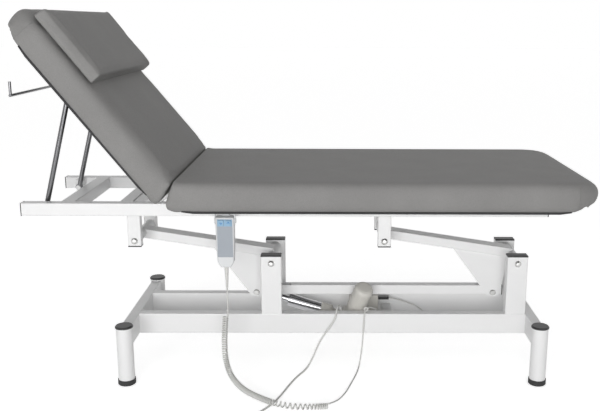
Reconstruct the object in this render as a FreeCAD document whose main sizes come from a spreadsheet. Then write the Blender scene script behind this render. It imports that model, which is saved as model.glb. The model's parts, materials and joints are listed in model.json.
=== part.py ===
import FreeCAD, Part
import Sketcher
import math
import os

# Electric massage table: a parallelogram lift on a tube base, a top frame with a
# fixed seat pad and a hinged backrest, an actuator, a handset and its cords.
# Millimetres. X runs from the head end (-) to the foot end (+), the camera side is -Y,
# Z is up from the floor. Lengths along X are counted from the middle of the base.

SIZES = [
    # name, value, what it is
    ("origin_shift", 80.7, "middle of the base, from the middle of the whole part"),
    ("leg_reach", 586.0, "leg centre from the middle of the base, along X"),
    ("leg_stance", 221.0, "leg centre from the centre line, along Y"),
    ("leg_diameter", 46.0, "round leg tube"),
    ("leg_wall", 2.0, "wall of the leg tube"),
    ("leg_top", 170.0, "top of the leg tube"),
    ("cap_diameter", 50.0, "leg cap and foot, across"),
    ("cap_height", 6.0, "leg cap above the tube"),
    ("plug_depth", 14.0, "cap plug inside its tube"),
    ("foot_height", 16.0, "rubber foot"),
    ("foot_sole", 8.0, "rubber under the leg tube"),
    ("fit_gap", 0.1, "clearance of a plug or cup on its tube"),
    ("base_tube_tall", 61.0, "base tube, upright side"),
    ("base_tube_wide", 30.0, "base tube, flat side"),
    ("tube_wall", 2.0, "wall of the rectangular tubes"),
    ("tube_round", 3.0, "outer corner radius of the tubes"),
    ("base_tube_bottom", 106.0, "underside of the base tubes"),
    ("rail_stance", 92.0, "base rail centre from the centre line"),
    ("post_wide", 60.0, "post, along X"),
    ("post_over_pivot", 20.0, "post tube above the lower pivot"),
    ("post_cap_height", 5.0, "cap on a post"),
    ("pivot_height", 321.5, "lower pivots above the floor"),
    ("head_pivot", -180.0, "lower head pivot along X"),
    ("pivot_spacing", 720.0, "head pivot to foot pivot"),
    ("arm_run", 391.0, "lower pivot to upper pivot, along X"),
    ("arm_rise", 69.0, "lower pivot to upper pivot, upwards"),
    ("arm_wide", 50.0, "rocker arm tube, along Y"),
    ("arm_tall", 28.0, "rocker arm tube, upright"),
    ("arm_lift_at_hub", 9.0, "arm tube centre above the lower pivot"),
    ("hub_diameter", 34.0, "rocker hub and sleeve"),
    ("shaft_diameter", 16.0, "pivot shafts"),
    ("running_gap", 0.05, "radial clearance of a turning fit"),
    ("side_gap", 0.3, "clearance beside a turning piece"),
    ("dome_diameter", 19.0, "dome nut"),
    ("dome_height", 7.0, "dome nut"),
    ("gusset_thickness", 5.0, "V plate under a rocker arm"),
    ("pin_back", 52.0, "lower pin behind the lower pivot, along X"),
    ("pin_drop", 117.0, "lower pin below the lower pivot"),
    ("pin_diameter", 12.0, "lower pins"),
    ("bar_wide", 30.0, "connecting bar, along Y"),
    ("bar_tall", 30.0, "connecting bar, upright"),
    ("bar_lift", 6.0, "connecting bar centre above its pins"),
    ("bar_tail", 28.0, "connecting bar past its foot pin"),
    ("bar_nose", 18.0, "connecting bar past its head pin"),
    ("fork_length", 104.0, "fork slot of the connecting bar past the head pin"),
    ("frame_over_pivot", 95.5, "underside of the top frame above the upper pivots"),
    ("top_rail_tall", 36.0, "top frame tubes, upright"),
    ("top_rail_wide", 30.0, "top frame tubes, flat side"),
    ("top_stance", 188.5, "top rail centre from the centre line"),
    ("top_head_end", -852.0, "top rails, head end"),
    ("top_foot_end", 592.0, "top rails, foot end"),
    ("rail_cap", 3.0, "plate of a rail end cap"),
    ("hanger_wide", 38.0, "hanger tube, along X"),
    ("hanger_thick", 25.0, "hanger tube, along Y"),
    ("hanger_stance", 100.0, "hanger centre from the centre line"),
    ("hanger_under_pivot", 14.5, "hanger tube below the upper pivot"),
    ("hanger_cap", 4.0, "plate of a hanger cap"),
    ("prop_cross_place", -732.0, "cross tube by the props"),
    ("prop_cross_wide", 40.0, "cross tube by the props, along X"),
    ("foot_cross_back", 60.0, "cross tube from the foot end of the top rails"),
    ("foot_cross_wide", 30.0, "cross tube at the foot end, along X"),
    ("pad_half_width", 310.0, "half the width of the pads"),
    ("pad_thickness", 80.0, "pads with their boards"),
    ("pad_round", 24.0, "edge radius of the pads"),
    ("pad_corner", 86.0, "corner radius of the pads, seen from above"),
    ("pad_clear", 0.3, "clearance around the soft pads"),
    ("board_thickness", 15.0, "plywood boards"),
    ("board_inset", 26.0, "pad edge to board edge"),
    ("seat_foot_end", 705.0, "foot end of the seat pad"),
    ("hinge_place", -443.0, "backrest hinge along X"),
    ("hinge_over_rail", 26.0, "backrest hinge above the top rails"),
    ("hinge_relief", 6.0, "pad ends set back under the hinge"),
    ("backrest_angle", 51.6, "backrest above level, as in the photo"),
    ("backrest_length", 605.0, "backrest pad from its hinge"),
    ("hinge_pin", 10.0, "backrest hinge pins"),
    ("hinge_plate", 6.0, "backrest hinge plates"),
    ("hinge_stance", 160.0, "inner face of the backrest plates"),
    ("hinge_eye", 9.0, "radius of the hinge eyes"),
    ("slot_radius", 12.0, "room in the pads around the hinge eyes"),
    ("prop_place", -803.0, "lower end of the props along X"),
    ("prop_over_frame", 9.0, "prop pins above the underside of the top frame"),
    ("prop_block_long", 26.0, "block that carries a prop pin, along X"),
    ("prop_block_tall", 30.0, "block that carries a prop pin, upright"),
    ("prop_angle", 14.9, "props from upright, as in the photo"),
    ("prop_length", 340.6, "props between their centres"),
    ("prop_rod", 14.0, "prop rods"),
    ("prop_stance", 150.0, "prop rods from the centre line"),
    ("prop_eye", 20.0, "eye at the foot of a prop"),
    ("slide_bar_start", 348.0, "slide bars under the backrest, from the hinge"),
    ("slide_bar_end", 572.0, "far end of the slide bars"),
    ("slide_bar_drop", 8.0, "slide bars under the board"),
    ("slide_bar_wide", 24.0, "slide bars, along Y"),
    ("slide_bar_stance", 100.0, "slide bars from the centre line"),
    ("pillow_start", 340.0, "head pillow from the hinge"),
    ("pillow_length", 222.0, "head pillow along the backrest"),
    ("pillow_thickness", 38.0, "head pillow"),
    ("pillow_half_width", 292.0, "half the width of the head pillow"),
    ("roll_rod", 8.0, "rod for the paper roll"),
    ("roll_place", 456.0, "paper roll rod from the hinge"),
    ("roll_drop", 115.0, "paper roll rod under the backrest"),
    ("roll_near", 250.0, "near end of the paper roll rod"),
    ("roll_tip", 36.0, "upturned end of the paper roll rod"),
    ("roll_leg_near", 178.0, "first leg of the paper roll rod, outside the props"),
    ("roll_leg_far", 262.0, "second leg of the paper roll rod, along Y"),
    ("roll_leg", 7.0, "legs and upturned end of the paper roll rod"),
    ("roll_foot_long", 34.0, "plate at the top of a leg, along the backrest"),
    ("roll_foot_wide", 22.0, "plate at the top of a leg, along Y"),
    ("roll_foot_thick", 3.0, "plate at the top of a leg"),
    ("rear_pin_drop", 17.1218, "rear pin of the actuator under the base tubes"),
    ("actuator_length", 391.0, "front pin to rear pin of the actuator"),
    ("sleeve_start", 100.0, "chrome sleeve from the front pin"),
    ("sleeve_end", 238.0, "open end of the sleeve with its collar"),
    ("sleeve_diameter", 38.0, "chrome sleeve"),
    ("sleeve_bore", 35.6, "inside of the chrome sleeve"),
    ("collar_length", 36.0, "collar on the sleeve"),
    ("collar_diameter", 44.0, "collar on the sleeve"),
    ("stem_diameter", 24.6, "fixed tube inside the sleeve"),
    ("stem_wall", 2.5, "wall of the fixed tube"),
    ("stem_start", 116.0, "free end of the fixed tube"),
    ("stem_end", 270.0, "fixed tube at the gear housing"),
    ("front_rod", 20.0, "rod from the front eye to the sleeve"),
    ("front_eye", 26.0, "front eye of the actuator"),
    ("eye_thick", 20.0, "eyes of the actuator"),
    ("gearbox_length", 66.0, "gear housing along the actuator"),
    ("gearbox_wide", 52.0, "gear housing across"),
    ("gearbox_tall", 50.0, "gear housing upright"),
    ("motor_diameter", 57.0, "motor can"),
    ("motor_length", 150.0, "motor can from the actuator axis"),
    ("motor_lean", 30.0, "motor leaning towards the camera side"),
    ("motor_dome", 14.0, "rounding of the motor can"),
    ("bearer_tube", 30.0, "cross tube that carries the actuator"),
    ("bearer_back", 26.0, "cross tube from the actuator's rear pin, along X"),
    ("cheek_thick", 5.0, "cheeks at the actuator's rear pin"),
    ("box_place", 52.0, "left side of the control box along X"),
    ("box_long", 90.0, "control box along X"),
    ("box_low", 126.0, "underside of the control box above the floor"),
    ("box_tall", 50.0, "control box upright"),
    ("box_wide", 44.0, "control box across, from the far rail"),
    ("handset_place", -293.5, "handset along X"),
    ("handset_wide", 52.0, "handset"),
    ("handset_over_frame", 5.0, "top of the handset above the underside of the top frame"),
    ("handset_tall", 142.0, "handset"),
    ("handset_thick", 26.0, "handset"),
    ("handset_back", 209.0, "back of the handset from the centre line"),
    ("holder_thick", 2.5, "plate that holds the handset on its rail"),
    ("holder_over", 18.0, "that plate above the top of the handset"),
    ("holder_wide", 20.0, "that plate along X"),
    ("panel_inset", 5.0, "label panel inside the handset outline"),
    ("panel_thick", 1.2, "label panel"),
    ("button_wide", 14.0, "handset buttons"),
    ("button_travel", 1.2, "handset button stroke"),
    ("button_stand", 2.4, "buttons above the panel"),
    ("button_drop", 15.5, "middle of the buttons below the top of the handset"),
    ("button_pitch", 20.0, "down button to up button, along X"),
    ("cord_diameter", 5.5, "mains cable"),
    ("tail_diameter", 5.0, "straight ends of the handset cord"),
    ("curl_diameter", 18.0, "curled part of the handset cord, outside"),
    ("floor_gap", 0.5, "lowest point of a cord above the floor"),
    ("coil_radius", 33.0, "put-away coil of the mains cable, middle of its ring"),
    ("coil_thick", 19.0, "put-away coil, across its bundle"),
    ("coil_place", -215.0, "middle of the coil along X"),
    ("coil_out", 492.0, "middle of the coil from the centre line, camera side"),
    ("plug_long", 34.0, "handset plug in the control box"),
    ("plug_up", 35.5, "handset plug above the underside of the box"),
    ("plug_wide", 16.0, "handset plug, along Y"),
    ("plug_tall", 9.0, "handset plug, upright"),
    ("gland_back", 12.0, "mains gland in front of the motor's axis"),
    ("gland_out", 8.0, "mains gland out of the gear housing"),
    ("gland_diameter", 12.0, "mains gland"),
    ("gland_drop", 11.0, "mains gland under the actuator's axis"),
    ("relief_long", 62.0, "bend relief under the handset"),
    ("relief_low_end", 6.4, "bend relief across, at the cord"),
    ("relief_high_end", 12.0, "bend relief across, at the handset"),
    ("mains_plug_long", 42.0, "body of the mains plug, along X"),
    ("mains_plug_wide", 34.0, "body of the mains plug, along Y"),
    ("mains_plug_tall", 24.0, "body of the mains plug, upright"),
    ("mains_pin", 4.8, "pins of the mains plug"),
    ("mains_pin_long", 20.0, "pins of the mains plug out of its body"),
    ("mains_pin_pitch", 19.0, "pin to pin of the mains plug"),
    ("tie_inside", 3.0, "cable tie inside, radius"),
    ("tie_thick", 4.4, "cable tie, across its strap"),
    ("tie_place", 99.0, "cable tie along X"),
    ("tie_in", 12.0, "cable tie from the outer face of the near rail"),
]

doc = FreeCAD.newDocument("massage_table")
sheet = doc.addObject("Spreadsheet::Sheet", "Sizes")


class Dim:
    """A size: its number, and the spreadsheet formula that gives it."""

    def __init__(self, number, formula):
        self.number = number
        self.formula = formula

    def _join(self, other, sign, number):
        return Dim(number, "(" + self.formula + " " + sign + " " + as_dim(other).formula + ")")

    def __add__(self, other):
        return self._join(other, "+", self.number + as_dim(other).number)

    def __sub__(self, other):
        return self._join(other, "-", self.number - as_dim(other).number)

    def __mul__(self, other):
        return self._join(other, "*", self.number * as_dim(other).number)

    def __truediv__(self, other):
        return self._join(other, "/", self.number / as_dim(other).number)

    def __neg__(self):
        return Dim(-self.number, "(-1 * " + self.formula + ")")


def as_dim(value):
    if isinstance(value, Dim):
        return value
    return Dim(float(value), "(" + repr(float(value)) + ")")


def sine(angle):
    return Dim(math.sin(math.radians(angle.number)), "sin(" + angle.formula + " * 1deg)")


def cosine(angle):
    return Dim(math.cos(math.radians(angle.number)), "cos(" + angle.formula + " * 1deg)")


def angle_of_sine(share):
    """The angle in degrees that has this sine."""
    return Dim(math.degrees(math.asin(share.number)), "(asin(" + share.formula + ") / 1deg)")


def fill_sheet():
    """Write each size into the sheet and give back the named sizes."""
    named = {}
    for row, (name, value, note) in enumerate(SIZES, start=1):
        sheet.set("A%d" % row, name)
        sheet.set("B%d" % row, repr(value))
        sheet.set("C%d" % row, note)
        sheet.setAlias("B%d" % row, name)
        named[name] = Dim(value, "Sizes." + name)
    return named


size = fill_sheet()
doc.recompute()

ZERO = as_dim(0.0)
sub_parts = []


def bind(thing, prop, value):
    """Set a property from a size, and keep it bound to the sheet."""
    thing.setExpression(prop, as_dim(value).formula)


def place(thing, x, y, z, axis=None, angle=None):
    """Put a thing at a point, turned about an axis, bound to the sheet."""
    point = FreeCAD.Vector(as_dim(x).number, as_dim(y).number, as_dim(z).number)
    turn = FreeCAD.Rotation()
    if axis is not None:
        turn = FreeCAD.Rotation(FreeCAD.Vector(*axis), as_dim(angle).number)
    thing.Placement = FreeCAD.Placement(point, turn)
    bind(thing, "Placement.Base.x", x)
    bind(thing, "Placement.Base.y", y)
    bind(thing, "Placement.Base.z", z)
    if axis is not None:
        bind(thing, "Placement.Rotation.Angle", angle)


def keep(thing, name):
    """Name a finished sub-part: its label is its node and file name."""
    thing.Label = name
    sub_parts.append(thing)
    return thing


def new_body(name):
    return doc.addObject("PartDesign::Body", name)


def origin_plane(body, role):
    for feature in body.Origin.OriginFeatures:
        if feature.Role == role:
            return feature
    raise ValueError("no plane " + role)


def new_sketch(body, role, name):
    sketch = body.newObject("Sketcher::SketchObject", body.Name + "_" + name)
    sketch.AttachmentSupport = [(origin_plane(body, role), "")]
    sketch.MapMode = "FlatFace"
    return sketch


def hold(sketch, kind, geometry, vertex, value, label):
    """A distance from the sketch's origin, bound to the sheet."""
    number = as_dim(value).number
    if abs(number) < 1e-9 and as_dim(value).formula.startswith("(0"):
        if kind == "DistanceX":
            sketch.addConstraint(Sketcher.Constraint("PointOnObject", geometry, vertex, -2))
        else:
            sketch.addConstraint(Sketcher.Constraint("PointOnObject", geometry, vertex, -1))
        return
    index = sketch.addConstraint(Sketcher.Constraint(kind, -1, 1, geometry, vertex, number))
    sketch.renameConstraint(index, label)
    sketch.setExpression("Constraints." + label, as_dim(value).formula)


def draw_polygon(sketch, corners, tag):
    """A closed outline through corners given as pairs of sizes."""
    points = []
    for x, y in corners:
        points.append(FreeCAD.Vector(as_dim(x).number, as_dim(y).number, 0))
    first = sketch.GeometryCount
    count = len(points)
    for i in range(count):
        sketch.addGeometry(Part.LineSegment(points[i], points[(i + 1) % count]), False)
    for i in range(count):
        nxt = first + (i + 1) % count
        sketch.addConstraint(Sketcher.Constraint("Coincident", first + i, 2, nxt, 1))
    for i, (x, y) in enumerate(corners):
        hold(sketch, "DistanceX", first + i, 1, x, "%s_x%d" % (tag, i))
        hold(sketch, "DistanceY", first + i, 1, y, "%s_y%d" % (tag, i))


def draw_box(sketch, left, right, low, high, tag):
    draw_polygon(sketch, [(left, low), (right, low), (right, high), (left, high)], tag)


def draw_centred_box(sketch, wide, tall, tag):
    draw_box(sketch, -(wide / 2), wide / 2, -(tall / 2), tall / 2, tag)


def draw_circle(sketch, x, y, diameter, tag):
    centre = FreeCAD.Vector(as_dim(x).number, as_dim(y).number, 0)
    index = sketch.addGeometry(
        Part.Circle(centre, FreeCAD.Vector(0, 0, 1), as_dim(diameter).number / 2), False)
    hold(sketch, "DistanceX", index, 3, x, tag + "_cx")
    hold(sketch, "DistanceY", index, 3, y, tag + "_cy")
    ring = sketch.addConstraint(Sketcher.Constraint("Diameter", index, as_dim(diameter).number))
    sketch.renameConstraint(ring, tag + "_d")
    sketch.setExpression("Constraints." + tag + "_d", as_dim(diameter).formula)


def pad(body, sketch, length, midplane=True, backwards=False):
    feature = body.newObject("PartDesign::Pad", sketch.Name + "_pad")
    feature.Profile = sketch
    feature.Midplane = midplane
    feature.Reversed = backwards
    feature.Length = as_dim(length).number
    bind(feature, "Length", length)
    sketch.Visibility = False
    doc.recompute()
    return feature


def pocket_through(body, sketch):
    """Cut a sketch right through the body, both ways."""
    feature = body.newObject("PartDesign::Pocket", sketch.Name + "_pocket")
    feature.Profile = sketch
    before = body.Shape.Volume
    feature.Midplane = True
    feature.Type = 1
    doc.recompute()
    if not body.Shape.Volume < before:
        raise ValueError("the pocket cut nothing: " + sketch.Name)
    return feature


def pocket_blind(body, sketch, depth, backwards=False):
    feature = body.newObject("PartDesign::Pocket", sketch.Name + "_pocket")
    feature.Profile = sketch
    before = body.Shape.Volume
    feature.Length = as_dim(depth).number
    bind(feature, "Length", depth)
    feature.Reversed = backwards
    doc.recompute()
    if not body.Shape.Volume < before:
        raise ValueError("the pocket cut nothing: " + sketch.Name)
    return feature


def revolve(body, sketch, axis_name):
    feature = body.newObject("PartDesign::Revolution", sketch.Name + "_turn")
    feature.Profile = sketch
    feature.ReferenceAxis = (sketch, [axis_name])
    feature.Angle = 360.0
    sketch.Visibility = False
    doc.recompute()
    return feature


def round_edges(body, chooser, radius):
    """Fillet the edges of the tip that the chooser picks."""
    tip = body.Tip
    names = []
    for index, edge in enumerate(tip.Shape.Edges, start=1):
        if chooser(edge):
            names.append("Edge%d" % index)
    feature = body.newObject("PartDesign::Fillet", tip.Name + "_round")
    feature.Base = (tip, names)
    feature.Radius = as_dim(radius).number
    bind(feature, "Radius", radius)
    doc.recompute()
    return feature


def along(edge, axis):
    """True for a straight edge that runs along an axis."""
    if edge.Curve.TypeId != "Part::GeomLine":
        return False
    return abs(abs(edge.Curve.Direction.dot(FreeCAD.Vector(*axis))) - 1) < 1e-6


PLANE_ACROSS = {"X": "YZ_Plane", "Y": "XZ_Plane", "Z": "XY_Plane"}
AXIS_OF = {"X": (1, 0, 0), "Y": (0, 1, 0), "Z": (0, 0, 1)}


def tube_body(name, run, wide, tall, length, wall):
    """A rectangular tube through the origin, with rounded outer corners."""
    body = new_body(name)
    outer = new_sketch(body, PLANE_ACROSS[run], "section")
    draw_centred_box(outer, wide, tall, "outer")
    draw_centred_box(outer, wide - wall * 2, tall - wall * 2, "inner")
    pad(body, outer, length)
    half_wide = as_dim(wide).number / 2
    half_tall = as_dim(tall).number / 2
    reach = math.hypot(half_wide, half_tall) - 0.01

    def outer_corner(edge):
        middle = edge.CenterOfMass
        off_axis = middle - FreeCAD.Vector(*AXIS_OF[run]) * middle.dot(FreeCAD.Vector(*AXIS_OF[run]))
        return along(edge, AXIS_OF[run]) and off_axis.Length > reach

    round_edges(body, outer_corner, size["tube_round"])
    return body


def cylinder_along_y(name, x, z, diameter, y_from, y_to):
    """A plain cylinder along Y between two values of Y."""
    item = doc.addObject("Part::Cylinder", name)
    bind(item, "Radius", as_dim(diameter) / 2)
    bind(item, "Height", as_dim(y_to) - y_from)
    place(item, x, y_from, z, (1, 0, 0), -90.0)
    return item


def fuse(name, pieces):
    item = doc.addObject("Part::MultiFuse", name)
    item.Shapes = pieces
    for piece in pieces:
        piece.Visibility = False
    return item


def cut(name, base, tool):
    item = doc.addObject("Part::Cut", name)
    item.Base = base
    item.Tool = tool
    base.Visibility = False
    tool.Visibility = False
    return item


def gather(name, pieces):
    """Like pieces that make one node: apart from each other, kept in one compound."""
    item = doc.addObject("Part::Compound", name)
    item.Links = pieces
    for piece in pieces:
        piece.Visibility = False
    return item


def turned_body(name, outline):
    """A body turned about Z from an outline of (radius, height) pairs."""
    body = new_body(name)
    sketch = new_sketch(body, "XZ_Plane", "outline")
    draw_polygon(sketch, outline, "p")
    revolve(body, sketch, "V_Axis")
    return body


# places that several pieces share

MID = size["origin_shift"]
HEAD_PIVOT = MID + size["head_pivot"]
FOOT_PIVOT = HEAD_PIVOT + size["pivot_spacing"]
PIVOT_UP = size["pivot_height"]
HEAD_TOP = HEAD_PIVOT - size["arm_run"]
FOOT_TOP = FOOT_PIVOT - size["arm_run"]
TOP_UP = PIVOT_UP + size["arm_rise"]
PIN_UP = PIVOT_UP - size["pin_drop"]
HEAD_PIN = HEAD_PIVOT - size["pin_back"]
REAR_PIN_UP = size["base_tube_bottom"] - size["rear_pin_drop"]
ACTUATOR_ANGLE = angle_of_sine((PIN_UP - REAR_PIN_UP) / size["actuator_length"])
FOOT_PIN = FOOT_PIVOT - size["pin_back"]
BASE_MIDDLE = size["base_tube_bottom"] + size["base_tube_tall"] / 2
BASE_TOP = size["base_tube_bottom"] + size["base_tube_tall"]
RAIL_INNER = size["rail_stance"] - size["base_tube_wide"] / 2
RAIL_OUTER = size["rail_stance"] + size["base_tube_wide"] / 2
POST_TOP = PIVOT_UP + size["post_over_pivot"]
HANGER_LOW = TOP_UP - size["hanger_under_pivot"]
TOP_RAIL_LOW = TOP_UP + size["frame_over_pivot"]
TOP_RAIL_HIGH = TOP_RAIL_LOW + size["top_rail_tall"]
TOP_RAIL_MIDDLE = TOP_RAIL_LOW + size["top_rail_tall"] / 2
HINGE_UP = TOP_RAIL_HIGH + size["hinge_over_rail"]
PROP_UP = TOP_RAIL_LOW + size["prop_over_frame"]
HANDSET_TOP = TOP_RAIL_LOW + size["handset_over_frame"]
HANDSET_LOW = HANDSET_TOP - size["handset_tall"]
BUTTON_UP = HANDSET_TOP - size["button_drop"]
TOP_RAIL_INNER = size["top_stance"] - size["top_rail_wide"] / 2
HANGER_INNER = size["hanger_stance"] - size["hanger_thick"] / 2
HANGER_OUTER = size["hanger_stance"] + size["hanger_thick"] / 2
HINGE_X = MID + size["hinge_place"]
PAD_LOW = TOP_RAIL_HIGH + size["pad_clear"]
PAD_HIGH = TOP_RAIL_HIGH + size["pad_thickness"]
# The hinge sits between the pads; seen from it, the pads lie between these heights.
PAD_UNDER = PAD_LOW - HINGE_UP
PAD_OVER = PAD_HIGH - HINGE_UP
BOARD_UNDER = TOP_RAIL_HIGH - HINGE_UP


def base_rail(name, side):
    length = (size["leg_reach"] - size["base_tube_wide"] / 2) * 2
    body = tube_body(name, "X", size["base_tube_wide"], size["base_tube_tall"], length,
                     size["tube_wall"])
    place(body, MID, size["rail_stance"] * side, BASE_MIDDLE)
    return keep(body, name)


def leg_tube(name):
    """One leg, standing on the sole of its foot."""
    body = new_body(name)
    sketch = new_sketch(body, "XY_Plane", "section")
    draw_circle(sketch, ZERO, ZERO, size["leg_diameter"], "outer")
    draw_circle(sketch, ZERO, ZERO, size["leg_diameter"] - size["leg_wall"] * 2, "inner")
    pad(body, sketch, size["leg_top"] - size["foot_sole"], midplane=False)
    return body


def base_end(name, side):
    """Two legs and the tube welded between them."""
    x = MID + size["leg_reach"] * side
    cross = tube_body(name + "_cross", "Y", size["base_tube_wide"], size["base_tube_tall"],
                      size["leg_stance"] * 2, size["tube_wall"])
    place(cross, x, ZERO, BASE_MIDDLE)
    legs = []
    copes = []
    for label, across in (("near", -1.0), ("far", 1.0)):
        leg = leg_tube(name + "_leg_" + label)
        place(leg, x, size["leg_stance"] * across, size["foot_sole"])
        legs.append(leg)
        cope = doc.addObject("Part::Cylinder", name + "_cope_" + label)
        bind(cope, "Radius", size["leg_diameter"] / 2)
        bind(cope, "Height", size["leg_top"])
        place(cope, x, size["leg_stance"] * across, ZERO)
        copes.append(cope)
    coped = cut(name + "_coped", cross, fuse(name + "_copes", copes))
    return keep(fuse(name, [coped] + legs), name)


def leg_spots():
    for x in (-1.0, 1.0):
        for y in (-1.0, 1.0):
            yield MID + size["leg_reach"] * x, size["leg_stance"] * y


def leg_caps():
    """Black domed plugs in the tops of the legs."""
    bore = size["leg_diameter"] / 2 - size["leg_wall"] - size["fit_gap"]
    rim = size["cap_diameter"] / 2
    caps = []
    for index, (x, y) in enumerate(leg_spots()):
        body = turned_body("leg_cap_%d" % index, [
            (ZERO, -size["plug_depth"]), (bore, -size["plug_depth"]), (bore, ZERO), (rim, ZERO),
            (rim, size["cap_height"] / 2), (rim - 2.5, size["cap_height"]),
            (ZERO, size["cap_height"])])
        place(body, x, y, size["leg_top"])
        caps.append(body)
    return keep(gather("leg_caps", caps), "leg_caps")


def feet():
    """Black rubber cups under the legs."""
    rim = size["cap_diameter"] / 2
    bore = size["leg_diameter"] / 2 + size["fit_gap"]
    cups = []
    for index, (x, y) in enumerate(leg_spots()):
        body = turned_body("foot_%d" % index, [
            (ZERO, ZERO), (rim - 2.0, ZERO), (rim, ZERO + 2.0), (rim, size["foot_height"]),
            (bore, size["foot_height"]), (bore, size["foot_sole"]), (ZERO, size["foot_sole"])])
        place(body, x, y, ZERO)
        cups.append(body)
    return keep(gather("feet", cups), "feet")


def post_spots():
    for label, x in (("head", HEAD_PIVOT), ("foot", FOOT_PIVOT)):
        for side, y in (("near", -1.0), ("far", 1.0)):
            yield label, side, x, size["rail_stance"] * y


def posts(end):
    """The two posts of one pivot, standing on the base rails."""
    tall = POST_TOP - BASE_TOP
    hole_height = PIVOT_UP - BASE_TOP - tall / 2
    tubes = []
    for label, side, x, y in post_spots():
        if label != end:
            continue
        body = tube_body("post_%s_%s" % (label, side), "Z", size["post_wide"],
                         size["base_tube_wide"], tall, size["tube_wall"])
        hole = new_sketch(body, "XZ_Plane", "pivot_hole")
        draw_circle(hole, ZERO, hole_height, size["shaft_diameter"], "hole")
        pocket_through(body, hole)
        place(body, x, y, BASE_TOP + tall / 2)
        tubes.append(body)
    return keep(gather(end + "_posts", tubes), end + "_posts")


def tube_cap(name, wide, thick, plate, plug):
    """A plastic end cap: a plate over the tube and a plug inside it."""
    body = new_body(name)
    top = new_sketch(body, "XY_Plane", "plate")
    draw_centred_box(top, wide, thick, "plate")
    pad(body, top, plate, midplane=False)
    round_edges(body, lambda edge: edge.CenterOfMass.z > as_dim(plate).number - 0.01,
                as_dim(plate) * 0.4)
    core = new_sketch(body, "XY_Plane", "plug")
    inset = size["tube_wall"] * 2 + size["fit_gap"] * 2
    draw_centred_box(core, as_dim(wide) - inset, as_dim(thick) - inset, "plug")
    pad(body, core, plug, midplane=False, backwards=True)
    return body


def post_caps():
    caps = []
    for label, side, x, y in post_spots():
        body = tube_cap("cap_%s_%s" % (side, label), size["post_wide"], size["base_tube_wide"],
                        size["post_cap_height"], size["plug_depth"] - 6)
        place(body, x, y, POST_TOP)
        caps.append(body)
    return keep(gather("post_caps", caps), "post_caps")


def pivot_shaft(name, x, z, reach):
    """A plain shaft along Y with a dome nut on each end."""
    body = new_body(name)
    sketch = new_sketch(body, "XY_Plane", "outline")
    radius = size["shaft_diameter"] / 2
    dome = size["dome_diameter"] / 2
    tip = reach + size["dome_height"]
    shoulder = reach + size["dome_height"] * 0.35
    draw_polygon(sketch, [
        (ZERO, -tip), (dome * 0.55, -tip + 0.6), (dome * 0.9, -shoulder - 0.8),
        (dome, -shoulder), (dome, -reach),
        (radius, -reach), (radius, reach), (dome, reach), (dome, shoulder),
        (dome * 0.9, shoulder + 0.8), (dome * 0.55, tip - 0.6), (ZERO, tip)], "p")
    revolve(body, sketch, "V_Axis")
    place(body, x, ZERO, z)
    return body


def pivot_shafts(name, spots, reach):
    """The shafts of the head and foot pivots at one level."""
    shafts = []
    for label, x, z in spots:
        shafts.append(pivot_shaft(name + "_" + label, x, z, reach))
    return keep(gather(name, shafts), name)


def rocker_arm(end, pivot_x):
    """Arm tube with its hub between the posts and its sleeve between the hangers."""
    name = end + "_rocker_arm"
    top_x = pivot_x - size["arm_run"]
    rise = size["arm_rise"] - size["arm_lift_at_hub"]
    slope = Dim(math.degrees(math.atan2(rise.number, size["arm_run"].number)),
                "(atan(" + rise.formula + " / " + size["arm_run"].formula + ") / 1deg)")
    length = size["arm_run"] / cosine(slope)
    tube = tube_body(name + "_tube", "X", size["arm_wide"], size["arm_tall"], length,
                     size["tube_wall"])
    place(tube, top_x + size["arm_run"] / 2, ZERO, TOP_UP - rise / 2, (0, 1, 0), slope)
    hub_half = RAIL_INNER - size["side_gap"]
    hub = cylinder_along_y(name + "_hub", pivot_x, PIVOT_UP, size["hub_diameter"],
                           -hub_half, hub_half)
    sleeve_half = HANGER_INNER - size["side_gap"]
    sleeve = cylinder_along_y(name + "_sleeve", top_x, TOP_UP, size["hub_diameter"] - 4,
                              -sleeve_half, sleeve_half)
    bore = size["shaft_diameter"] + size["running_gap"] * 2
    bore_low = cylinder_along_y(name + "_bore_low", pivot_x, PIVOT_UP, bore,
                                -(hub_half + 5), hub_half + 5)
    bore_high = cylinder_along_y(name + "_bore_high", top_x, TOP_UP, bore,
                                 -(sleeve_half + 5), sleeve_half + 5)
    solid = fuse(name + "_solid", [tube, hub, sleeve])
    return keep(cut(name, solid, fuse(name + "_bores", [bore_low, bore_high])), name)


def gusset_outline():
    """The V plate, seen from the camera side, from the lower pivot."""
    slope = (size["arm_rise"] - size["arm_lift_at_hub"]) / size["arm_run"]
    under = size["arm_lift_at_hub"] - size["arm_tall"] / 2 - 0.4
    reach = size["pin_back"] + 126
    foot = size["pin_drop"] + 12
    return [(-reach, under + slope * reach),
            (-(size["pin_back"] + 16), -(foot - 2)),
            (-(size["pin_back"] - 6), -(foot + 2)),
            (-(size["pin_back"] - 20), -(foot - 6)),
            (-(size["pin_back"] - 28), -(foot - 44)),
            (-(size["pin_back"] - 44), under + slope * 8)]


def rocker_plates(end, pivot_x):
    """The two V plates that carry the lower pin under a rocker arm."""
    name = end + "_rocker_plates"
    inner = size["bar_wide"] / 2 + size["side_gap"]
    plates = []
    for label, side in (("near", -1.0), ("far", 1.0)):
        body = new_body("%s_%s" % (name, label))
        sketch = new_sketch(body, "XZ_Plane", "outline")
        draw_polygon(sketch, gusset_outline(), "edge")
        pad(body, sketch, size["gusset_thickness"])
        holes = new_sketch(body, "XZ_Plane", "holes")
        draw_circle(holes, -size["pin_back"], -size["pin_drop"], size["pin_diameter"], "pin")
        draw_circle(holes, ZERO, ZERO, size["hub_diameter"], "hub")
        pocket_through(body, holes)
        place(body, pivot_x, (inner + size["gusset_thickness"] / 2) * side, PIVOT_UP)
        plates.append(body)
    return keep(gather(name, plates), name)


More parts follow.
